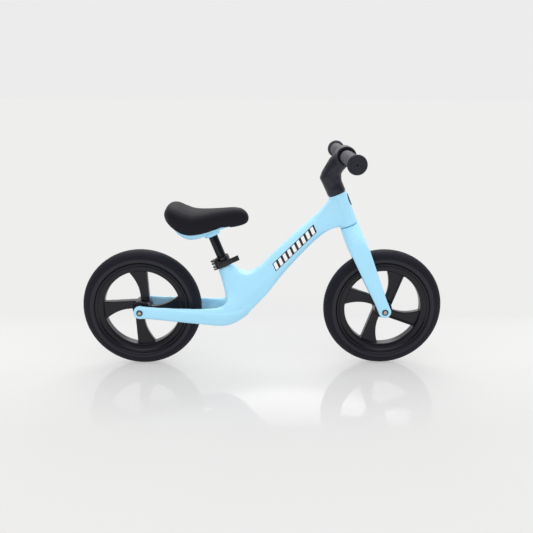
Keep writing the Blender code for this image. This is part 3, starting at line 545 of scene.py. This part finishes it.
film_finish = moulded_finish("printed_film", FILM_BLACK, 0.32, 500, 0.00001, 0.02, 0.02)
print_over(film_finish, FILM_WHITE, bar_mask)
for side, word in ((-1, "right"), (1, "left")):
    add_piece(f"main_tube_graphic_{word}", make_graphic(side), "frame", film_finish)

# ---------------------------------------------------------------- head badge
# A thin oval plaque stuck on the front of the head tube, in dark grey with two plain silver chevrons
# printed on it.
BADGE_GREY = (0.030, 0.033, 0.052)
BADGE_SILVER = (0.30, 0.31, 0.33)
BADGE_RISE = 0.0563
CHEVRON_HALF_WIDTH = 0.0062
CHEVRON_LEAN = 0.8
CHEVRON_APART = 0.0034
CHEVRON_HALF_STROKE = 0.0013


def chevron_mask(compute, distance):
    """Two chevrons, one above the other, in the middle of the badge."""
    rise = distance(STEER_UP, HEAD_FOOT + STEER_UP * BADGE_RISE)
    across = compute("ABSOLUTE", distance(Vector((0, 1, 0)), HEAD_FOOT))
    slope = compute("ADD", compute("MULTIPLY", across, CHEVRON_LEAN), rise)
    off_centre = compute("ABSOLUTE", compute("SUBTRACT", compute("ABSOLUTE", slope), CHEVRON_APART))
    bands = compute("LESS_THAN", off_centre, CHEVRON_HALF_STROKE)
    return compute("MULTIPLY", bands, compute("LESS_THAN", across, CHEVRON_HALF_WIDTH))


def make_badge():
    mesh = even_skin(packed_copy("head_badge"), 0.0004)
    relax(mesh, 6)
    mesh.shade_smooth()
    finish = moulded_finish("badge_grey", BADGE_GREY, 0.38, 1200, 0.00003, 0.08)
    print_over(finish, BADGE_SILVER, chevron_mask)
    add_piece("badge_plaque", mesh, "frame", finish, ["head_badge"])


make_badge()

# ---------------------------------------------------------------- axle fastenings
# At each end of the bike a hollow axle is held by two button-head bolts, each over a dark plated washer,
# and nylon spacers keep the wheel in the middle. The bolts' sockets are drawn round.
STEEL = (0.60, 0.60, 0.58)
DARK_STEEL = (0.085, 0.105, 0.105)
NYLON_BLACK = (0.012, 0.012, 0.016)
WASHER_BORE = 0.0028
SPACER_BORE = 0.0045
# The bolt's socket as shares of its head: width, and depth of the hole
SOCKET_WIDTH = 0.55
SOCKET_DEPTH = 0.7
# How far the bolt's tail and the head's rim reach back behind its seat
BOLT_TAIL = 0.002
HEAD_OVERLAP = 0.0001


def metal_finish(name, colour, roughness, grain=1500.0):
    finish = moulded_finish(name, colour, roughness, grain, 0.00001, 0.06, 0.06)
    finish.node_tree.nodes["Principled BSDF"].inputs["Metallic"].default_value = 1.0
    return finish


def add_spin(shape, outline, steps):
    """Spin a closed outline of (radius, height) points round Z."""
    points = [shape.verts.new((radius, 0, height)) for radius, height in outline]
    sides = [shape.edges.new((points[i - 1], points[i])) for i in range(len(points))]
    bmesh.ops.spin(shape, geom=points + sides, cent=(0, 0, 0), axis=(0, 0, 1), angle=2 * pi, steps=steps,
                   use_merge=True)


def spun_mesh(name, outline, place, steps=96, edge=0.0003):
    """A spun solid with its edges broken, set in its place."""
    shape = bmesh.new()
    add_spin(shape, outline, steps)
    bmesh.ops.remove_doubles(shape, verts=shape.verts, dist=0.000001)
    if edge:
        sharp = [side for side in shape.edges if side.calc_face_angle(0) > radians(40)]
        bmesh.ops.bevel(shape, geom=sharp, offset=edge, affect="EDGES", segments=2, profile=0.5, material=-1)
    bmesh.ops.transform(shape, matrix=place, verts=shape.verts)
    return mesh_of(shape, name)


def outward_place(centre, side):
    """Local Z points straight out from the bike's centre plane on that side."""
    return Matrix.Translation(centre) @ Matrix.Rotation(-side * pi / 2, 4, "X")


def axle_place(axle, side):
    """The same, from the point of the axle that lies in the centre plane."""
    return outward_place(Vector((axle.x, 0, axle.z)), side)


def cross_piece_size(node):
    """For a round node across the bike: its side, its radius, and how far in and out it reaches."""
    low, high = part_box(node)
    return 1 if low.y > 0 else -1, (high.x - low.x) / 2, *sorted((abs(low.y), abs(high.y)))


def tube_outline(bore, radius, inner, outer):
    return [(bore, inner), (radius, inner), (radius, outer), (bore, outer)]


def bolt_mesh(name, axle, side, seat, radius, height):
    """A button head with its socket, drawn from its washer outwards."""
    socket, floor = radius * SOCKET_WIDTH, height * (1 - SOCKET_DEPTH)
    dome = interpolate_bezier((radius, 0), (radius, height * 0.75), (radius * 0.75, height),
                              (socket, height), 8)
    outline = [(0, -BOLT_TAIL), (radius, -HEAD_OVERLAP), *[(point.x, point.y) for point in dome],
               (socket, floor), (0, floor)]
    return spun_mesh(name, outline, outward_place(Vector((axle.x, side * seat, axle.z)), side), 48, 0)


def paint_nodes(finish, *names):
    """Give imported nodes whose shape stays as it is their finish."""
    for name in names:
        materials = frame["nodes"][name].data.materials
        materials.clear()
        materials.append(finish)


steel_finish = metal_finish("zinc_plated_steel", STEEL, 0.28)
dark_steel_finish = metal_finish("dark_plated_steel", DARK_STEEL, 0.34)
nylon_finish = moulded_finish("black_nylon", NYLON_BLACK, 0.5)
for end, axle, body in (("rear", REAR_AXLE, "frame"), ("front", FRONT_AXLE, "steering")):
    paint_nodes(steel_finish, f"{end}_axle")
    for word in ("left", "right"):
        side, radius, inner, seat = cross_piece_size(f"{end}_washer_{word}")
        disc = spun_mesh("washer", tube_outline(WASHER_BORE, radius, inner, seat), axle_place(axle, side),
                         64, 0.0004)
        add_piece(f"{end}_washer_disc_{word}", disc, body, dark_steel_finish,
                  [f"{end}_washer_{word}"])
        side, radius, _, face = cross_piece_size(f"{end}_bolt_{word}")
        head = bolt_mesh("bolt", axle, side, seat, radius, face - seat)
        add_piece(f"{end}_bolt_head_{word}", head, body, steel_finish, [f"{end}_bolt_{word}"])
        side, radius, inner, outer = cross_piece_size(f"{end}_spacer_{word}")
        tube = spun_mesh("spacer", tube_outline(SPACER_BORE, radius, inner, outer),
                         axle_place(axle, side), 64)
        add_piece(f"{end}_spacer_tube_{word}", tube, body, nylon_finish, [f"{end}_spacer_{word}"])

# ---------------------------------------------------------------- wheels
# Each wheel is a black nylon moulding, with four swept spokes that flare into the rim on one side. A
# solid foam tyre with a studded tread is pressed over it, and two bearings sit in its hub.
WHEEL_BLACK = (0.0030, 0.0030, 0.0080)
TYRE_BLACK = (0.0095, 0.0095, 0.0175)
# The rim's section on one side, as radius and distance from the wheel's middle plane: window wall,
# dished face with a groove, rolled edge and the tyre's seat
RIM_SIDE = ((0.0932, 0.0100), (0.0936, 0.0122), (0.0948, 0.0132), (0.0990, 0.0142), (0.1036, 0.0154),
            (0.1042, 0.0140), (0.1062, 0.0142), (0.1068, 0.0164), (0.1092, 0.0186), (0.1110, 0.0195),
            (0.1132, 0.0193), (0.1143, 0.0182), (0.1136, 0.0166), (0.1100, 0.0140), (0.1035, 0.0100))
HUB_SIDE = ((0.0087, 0.0268), (0.0175, 0.0268), (0.0215, 0.0225), (0.0218, 0.0100))
# A spoke's two edges, as distance out from the hub's middle and distance across
SPOKE_STRAIGHT = ((0.0960, -0.0100), (0.0120, -0.0180))
SPOKE_HOLLOW = ((0.0180, 0.0045), (0.0540, 0.0038), (0.0790, 0.0235), (0.0965, 0.0420))
SPOKE_COUNT = 4
SPOKE_HALF_THICKNESS = 0.0075
SPOKE_RIB = 0.0042
SPOKE_RIB_STEP = 0.0016
FIRST_SPOKE_REAR = radians(-2.5)
FIRST_SPOKE_FRONT = radians(-25.5)
WHEEL_VOXEL = 0.00126
TYRE_RADIUS = 0.1444
TYRE_HALF = 0.0216
# The tyre's section below its tread: smooth flank, bead and the foot that follows the rim's seat
TYRE_FLANK = ((0.1205, 0.0214), (0.1178, 0.0206), (0.1160, 0.0196), (0.1150, 0.0184), (0.1142, 0.0166),
              (0.1104, 0.0142), (0.1042, 0.0102))
SMOOTH_SIDEWALL = 0.1245
TREAD_STEPS = 220
TREAD_ROWS = 15
TREAD_SPAN = radians(84)
STUD_GAP = 0.0005
STUD_SLOPE = 0.0002
STUD_HEIGHT = 0.0006
BEARING_BORE = 0.0046
# The dished shield between the bearing's two races, as shares of its radius, and its depth
SHIELD_SPAN = (0.80, 0.56)
SHIELD_DEPTH = 0.0005


def both_sides(side):
    """A section's outline from its one side: that side, and its mirror image back again."""
    return [*side, *[(radius, -height) for radius, height in reversed(side)]]


def add_spoke(shape, turn):
    """A flat spoke with one hollow and one straight edge, and a raised rib along the straight one."""
    straight = [Vector(corner) for corner in SPOKE_STRAIGHT]
    hollow = interpolate_bezier(*SPOKE_HOLLOW, 14)
    web = [*straight, *[point.to_2d() for point in hollow]]
    rib = [*straight, straight[1] + Vector((0, SPOKE_RIB)), straight[0] + Vector((0, SPOKE_RIB))]
    for outline, half in ((web, SPOKE_HALF_THICKNESS), (rib, SPOKE_HALF_THICKNESS + SPOKE_RIB_STEP)):
        flat = [shape.verts.new((point.x, point.y, -half)) for point in outline]
        raised = bmesh.ops.extrude_face_region(shape, geom=[shape.faces.new(flat)])
        top = [item for item in raised["geom"] if isinstance(item, bmesh.types.BMVert)]
        bmesh.ops.translate(shape, vec=(0, 0, 2 * half), verts=top)
        bmesh.ops.rotate(shape, cent=(0, 0, 0), matrix=Matrix.Rotation(turn, 3, "Z"), verts=flat + top)


def wheel_mesh(name, axle, first_angle):
    shape = bmesh.new()
    add_spin(shape, both_sides(RIM_SIDE), 180)
    add_spin(shape, both_sides(HUB_SIDE), 72)
    for i in range(SPOKE_COUNT):
        add_spoke(shape, first_angle + i * 2 * pi / SPOKE_COUNT)
    bmesh.ops.recalc_face_normals(shape, faces=shape.faces)
    bmesh.ops.transform(shape, matrix=outward_place(axle, -1), verts=shape.verts)
    solid = bpy.data.meshes.new(name)
    shape.to_mesh(solid)
    shape.free()
    mesh = even_skin(solid, WHEEL_VOXEL)
    relax(mesh, 5)
    mesh.shade_smooth()
    return mesh


def tyre_mesh(name, axle):
    middle = TYRE_RADIUS - TYRE_HALF
    tread = [(middle + TYRE_HALF * cos(angle), TYRE_HALF * sin(angle))
             for angle in np.linspace(-TREAD_SPAN, TREAD_SPAN, TREAD_ROWS + 1)]
    shape = bmesh.new()
    add_spin(shape, tread + both_sides(TYRE_FLANK), TREAD_STEPS)
    bmesh.ops.recalc_face_normals(shape, faces=shape.faces)
    studs = []
    for face in shape.faces:
        centre = face.calc_center_median()
        angle = np.arctan2(centre.z, Vector((centre.x, centre.y)).length - middle)
        row = int((angle + TREAD_SPAN) / (2 * TREAD_SPAN) * TREAD_ROWS)
        column = int(round((np.arctan2(centre.y, centre.x) / (2 * pi)) * TREAD_STEPS + 0.5))
        if abs(angle) < TREAD_SPAN and (column + row) % 2 == 0:
            studs.append(face)
    bmesh.ops.inset_individual(shape, faces=studs, thickness=STUD_GAP, depth=0)
    bmesh.ops.inset_individual(shape, faces=studs, thickness=STUD_SLOPE, depth=STUD_HEIGHT)
    bmesh.ops.transform(shape, matrix=outward_place(axle, -1), verts=shape.verts)
    return mesh_of(shape, name, 50)


wheel_finish = moulded_finish("black_wheel_nylon", WHEEL_BLACK, 0.30, 800, 0.00003, 0.08, shine=0.40)
tyre_finish = moulded_finish("black_foam", TYRE_BLACK, 0.60, 1400, 0.00012, 0.10, shine=0.22)
sidewall_finish = moulded_finish("smooth_black_foam", TYRE_BLACK, 0.36, 1000, 0.00003, 0.08, shine=0.40)
for end, axle, first_angle in (("rear", REAR_AXLE, FIRST_SPOKE_REAR),
                               ("front", FRONT_AXLE, FIRST_SPOKE_FRONT)):
    body = f"{end}_wheel"
    add_piece(f"{end}_wheel_moulding", wheel_mesh("wheel", axle, first_angle), body, wheel_finish,
              [f"{end}_wheel"])
    tyre = add_piece(f"{end}_tyre_foam", tyre_mesh("tyre", axle), body, tyre_finish,
                     [f"{end}_tyre"])
    tyre.data.materials.append(sidewall_finish)
    for face in tyre.data.polygons:
        if (face.center - Vector((axle.x, face.center.y, axle.z))).length < SMOOTH_SIDEWALL:
            face.material_index = 1
    for word in ("left", "right"):
        side, radius, inner, outer = cross_piece_size(f"{end}_bearing_{word}")
        wide, narrow = (radius * share for share in SHIELD_SPAN)
        ring = [(BEARING_BORE, inner), (radius, inner), (radius, outer), (wide, outer),
                (wide, outer - SHIELD_DEPTH), (narrow, outer - SHIELD_DEPTH), (narrow, outer),
                (BEARING_BORE, outer)]
        bearing = spun_mesh("bearing", ring, axle_place(axle, side), 64, 0.0001)
        add_piece(f"{end}_bearing_ring_{word}", bearing, body, steel_finish,
                  [f"{end}_bearing_{word}"])

# ---------------------------------------------------------------- seat clamp
# A split collar of black painted steel round the top of the seat stump, drawn tight by a skewer and a
# moulded cam lever that lies along its right side.
CLAMP_BLACK = (0.006, 0.006, 0.010)
COLLAR_VOXEL = 0.0006
LEVER_VOXEL = 0.0005
CLAMP_ROUNDS = 4


def clamp_mesh(node, voxel):
    mesh = even_skin(packed_copy(node), voxel)
    relax(mesh, CLAMP_ROUNDS)
    mesh.shade_smooth()
    return mesh


collar_finish = moulded_finish("clamp_black_paint", CLAMP_BLACK, 0.30, 900, 0.00002, 0.06, 0.04, 0.3)
lever_finish = moulded_finish("lever_black_nylon", CLAMP_BLACK, 0.36, 900, 0.00004, 0.06)
add_piece("clamp_collar", clamp_mesh("seat_collar", COLLAR_VOXEL), "frame", collar_finish,
          ["seat_collar"])
add_piece("clamp_lever_moulding", clamp_mesh("clamp_lever", LEVER_VOXEL), "lever", lever_finish,
          ["clamp_lever"])
paint_nodes(steel_finish, "clamp_skewer", "clamp_nut", "lever_pivot")

# ---------------------------------------------------------------- seat post and saddle
# A black painted steel post goes up into the boss of a pale blue shell, and a cross bolt holds it. The
# shell carries a moulded foam cushion with a smooth black skin.
POST_BLACK = (0.004, 0.005, 0.009)
CUSHION_BLACK = (0.0090, 0.0080, 0.0130)
POST_WALL = 0.0018
SHELL_VOXEL = 0.0013
SHELL_ROUNDS = 34
# Heights over the stump's shoulder between which the shell's boss turns into its dish
BOSS_TO_DISH = (0.084, 0.092)
CUSHION_VOXEL = 0.0020
CUSHION_ROUNDS = 24
# How far the cushion's edge hangs over the shell, most at its back and least at its nose
CUSHION_DROP = 0.0045
NOSE_SHARE = 0.3
BACK_TO_NOSE = (-0.115, -0.060)
CUSHION_SWELL = 0.0006


def make_post():
    points = points_of(packed_copy("seat_post"))
    heights = along(points, SEAT_SHOULDER, POST_UP)
    radius = np.abs(points[:, 1]).max()
    outline = tube_outline(radius - POST_WALL, radius, heights.min(), heights.max())
    place = Matrix.Translation(SEAT_SHOULDER) @ POST_UP.to_track_quat("Z", "Y").to_matrix().to_4x4()
    finish = moulded_finish("post_black_paint", POST_BLACK, 0.20, 600, 0.00001, 0.05, 0.03, shine=0.35)
    add_piece("seat_post_tube", spun_mesh("post", outline, place, 72, 0.0004), "seat", finish,
              ["seat_post"])


def make_shell():
    mesh = even_skin(packed_copy("saddle_base"), SHELL_VOXEL)
    dish = ease(along(points_of(mesh), SEAT_SHOULDER, POST_UP), *BOSS_TO_DISH)
    relax(mesh, EDGE_ROUNDS)
    relax(mesh, SHELL_ROUNDS, dish)
    mesh.shade_smooth()
    add_piece("saddle_shell", mesh, "seat", frame_finish, ["saddle_base"])
    paint_nodes(steel_finish, "saddle_bolt", "saddle_nut")


def make_cushion():
    mesh = even_skin(packed_copy("saddle_cushion"), CUSHION_VOXEL)
    relax(mesh, CUSHION_ROUNDS)
    points, normals = points_of(mesh), normals_of(mesh)
    sideways = np.abs(normals[:, 1]) + 0.4 * np.abs(normals[:, 0])
    edge = ease(-normals[:, 2], 0.05, 0.7) * ease(sideways, 0.1, 0.5)
    back = 1 - ease(points[:, 0], *BACK_TO_NOSE)
    points[:, 2] -= CUSHION_DROP * edge * (NOSE_SHARE + (1 - NOSE_SHARE) * back)
    points += normals * CUSHION_SWELL
    set_points(mesh, points)
    relax(mesh, 4)
    mesh.shade_smooth()
    finish = moulded_finish("foam_skin", CUSHION_BLACK, 0.62, 650, 0.00010, 0.08, 0.05, shine=0.16)
    cushion = add_piece("saddle_pad", mesh, "seat", finish, ["saddle_cushion"])


make_post()
make_shell()
make_cushion()

# ---------------------------------------------------------------- fork
# One moulding in the frame's blue: a round crown under the head tube that widens into two flat legs over
# the tyre. The steel steerer tube is set in its top and turns in two nylon bushes.
FORK_VOXEL = 0.0014
# Painted shade: the lower bush's flange gets the frame's blue darkened, as the shadow in the gap between head
# tube and crown
GAP_SHADE_BLUE = (0.100, 0.460, 0.640)


def make_fork():
    mesh = even_skin(packed_copy("fork"), FORK_VOXEL)
    points = points_of(mesh)
    down = -along(points, HEAD_FOOT, STEER_UP)
    free = np.minimum(ease(down, 0.004, 0.014), away_from_axle(points, FRONT_AXLE, 0.016, 0.032))
    relax(mesh, EDGE_ROUNDS)
    relax(mesh, FRAME_ROUNDS, free)
    set_points(mesh, points_of(mesh) + normals_of(mesh) * (free * SMOOTHING_LOSS)[:, None])
    mesh.shade_smooth()
    add_piece("fork_moulding", mesh, "steering", frame_finish, ["fork"])
    paint_nodes(steel_finish, "steerer_tube", "steerer_plug")
    # The lower bush carries the painted shade of the gap under the head tube; the upper bush is plain black
    # nylon
    paint_nodes(moulded_finish("painted_gap_shade_blue", GAP_SHADE_BLUE, 0.4), "headset_lower_bush")
    paint_nodes(nylon_finish, "headset_upper_bush")


make_fork()

# ---------------------------------------------------------------- stem
# A black nylon moulding over the steerer that leans forward and ends in a ring round the bar. Its flanks
# are slightly hollow, and a bolt goes down behind it into the steerer.
STEM_BLACK = (0.0100, 0.0115, 0.0215)
# The middle of each flank's hollow: height over the head tube and distance ahead of its axis
STEM_LINE = ((0.010, 0.0), (0.035, -0.002), (0.050, 0.004), (0.066, 0.020))
STEM_HOLLOW_HALF = 0.0135
STEM_HOLLOW = 0.0016
STEM_VOXEL = 0.0009
STEM_ROUNDS = 18
RING_HALF = 0.022
BAR_RECESS_RADIUS = 0.0178
BAR_RECESS_DEPTH = 0.0035
CUTTER_LENGTH = 0.02

bar_low, bar_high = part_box("handlebar")
BAR_CENTRE = (bar_low + bar_high) / 2


def recess_cutters():
    """The shallow seat round the bar on each side of the ring."""
    meshes = []
    for side in (-1, 1):
        shape = bmesh.new()
        offset = side * (RING_HALF - BAR_RECESS_DEPTH + CUTTER_LENGTH / 2)
        place = outward_place(Vector((BAR_CENTRE.x, offset, BAR_CENTRE.z)), 1)
        bmesh.ops.create_cone(shape, cap_ends=True, segments=64, radius1=BAR_RECESS_RADIUS,
                              radius2=BAR_RECESS_RADIUS, depth=CUTTER_LENGTH, matrix=place)
        meshes.append(mesh_of(shape, "recess"))
    return meshes


def make_stem():
    mesh = even_skin(packed_copy("stem"), STEM_VOXEL, recess_cutters())
    points = points_of(mesh)
    up = along(points, HEAD_FOOT, STEER_UP) - HEAD_LENGTH
    ring = np.hypot(points[:, 0] - BAR_CENTRE.x, points[:, 2] - BAR_CENTRE.z)
    free = np.minimum(ease(up, 0.004, 0.014), ease(ring, 0.020, 0.034))
    relax(mesh, EDGE_ROUNDS)
    relax(mesh, STEM_ROUNDS, free)
    points, normals = points_of(mesh), normals_of(mesh)
    up = along(points, HEAD_FOOT, STEER_UP) - HEAD_LENGTH
    out = along(points, HEAD_FOOT, STEER_AHEAD)
    line_up, line_out = np.array(STEM_LINE).T
    inside = np.abs(out - np.interp(up, line_up, line_out)) / STEM_HOLLOW_HALF
    reach = ease(up, 0.010, 0.024) * (1 - ease(up, 0.052, 0.066))
    hollow = reach * (1 - ease(inside, 0.72, 1.0)) * ease(np.abs(normals[:, 1]), 0.3, 0.7)
    points[:, 1] -= np.sign(points[:, 1]) * STEM_HOLLOW * hollow
    set_points(mesh, points)
    relax(mesh, 2)
    mesh.shade_smooth()
    add_piece("stem_moulding", mesh, "steering", stem_finish, ["stem"])
    paint_nodes(dark_steel_finish, "stem_bolt", "bar_screw")


stem_finish = moulded_finish("black_stem_nylon", STEM_BLACK, 0.40, 900, 0.00006, 0.08)
make_stem()

# ---------------------------------------------------------------- handlebar and grips
# A straight black painted tube through the stem's ring, with a soft black rubber grip on each end that closes
# in a wide round flange.
# The grip's barrel is coloured grey as painted top light; its end keeps the rubber's own black.
BAR_BLACK = (0.008, 0.008, 0.012)
# Painted top light: the grey given to the black rubber barrel where light falls from above
GRIP_TOP_LIT_GREY = (0.050, 0.0485, 0.0630)
GRIP_END_BLACK = (0.0095, 0.0110, 0.0210)
BAR_WALL = 0.0016
GRIP_BORE = 0.0114
GRIP_BARREL = 0.0155
# Low round ridges along the barrel: how many, where the first starts, their pitch, width and height
RIDGES = 18
FIRST_RIDGE = 0.006
RIDGE_PITCH = 0.0052
RIDGE_WIDTH = 0.0026
RIDGE_HEIGHT = 0.0004
# The flange at the grip's end: its outline back from the end face, and the grooves turned in that face
FLANGE_START = 0.0060
FLANGE_OUTLINE = ((-0.0020, 0.0062), (0.0, 0.0042), (0.0, 0.0016), (-0.0014, 0.0))
END_GROOVES = (0.0165, 0.0125, 0.0085)
GROOVE_HALF = 0.0007
GROOVE_DEPTH = 0.0005
# The small hole in the end face, the wall behind it, and where the black end starts
END_HOLE = ((0.0026, 0.0), (0.0022, 0.0035), (0.0, 0.0035), (0.0, 0.005))
BLACK_END = 0.0045


def make_handlebar():
    radius = (bar_high.x - bar_low.x) / 2
    outline = tube_outline(radius - BAR_WALL, radius, bar_low.y, bar_high.y)
    finish = moulded_finish("bar_black_paint", BAR_BLACK, 0.30, 600, 0.00001, 0.05, 0.03, 0.3)
    add_piece("handlebar_tube", spun_mesh("bar", outline, axle_place(BAR_CENTRE, 1), 72), "steering", finish,
              ["handlebar"])


def make_grip(word):
    side, flange, inner, outer = cross_piece_size(f"grip_{word}")
    outline = [(GRIP_BORE, inner), (GRIP_BARREL, inner)]
    for i in range(RIDGES):
        ridge = inner + FIRST_RIDGE + i * RIDGE_PITCH
        outline += [(GRIP_BARREL, ridge), (GRIP_BARREL + RIDGE_HEIGHT, ridge + RIDGE_WIDTH / 2),
                    (GRIP_BARREL, ridge + RIDGE_WIDTH)]
    outline += [(GRIP_BARREL, outer - FLANGE_START)]
    outline += [(flange + wider, outer - back) for wider, back in FLANGE_OUTLINE]
    for groove in END_GROOVES:
        outline += [(groove + GROOVE_HALF, outer), (groove, outer - GROOVE_DEPTH),
                    (groove - GROOVE_HALF, outer)]
    outline += [(radius, outer - back) for radius, back in END_HOLE]
    outline += [(GRIP_BORE, outer - END_HOLE[-1][1])]
    mesh = spun_mesh("grip", outline, axle_place(BAR_CENTRE, side), 96, 0)
    add_piece(f"grip_sleeve_{word}", mesh, "steering", top_lit_grip_finish, [f"grip_{word}"])
    # The end faces keep the rubber's own black; the rest of the grip carries the grey of painted top light
    mesh.materials.append(grip_end_finish)
    for face in mesh.polygons:
        if abs(face.center.y) > outer - BLACK_END:
            face.material_index = 1


# The barrel's finish is black rubber coloured grey as painted top light
top_lit_grip_finish = moulded_finish("top_lit_grey_rubber", GRIP_TOP_LIT_GREY, 0.62, 1100, 0.00008, 0.10)
grip_end_finish = moulded_finish("black_rubber", GRIP_END_BLACK, 0.58, 1100, 0.00006, 0.08)
make_handlebar()
make_grip("left")
make_grip("right")
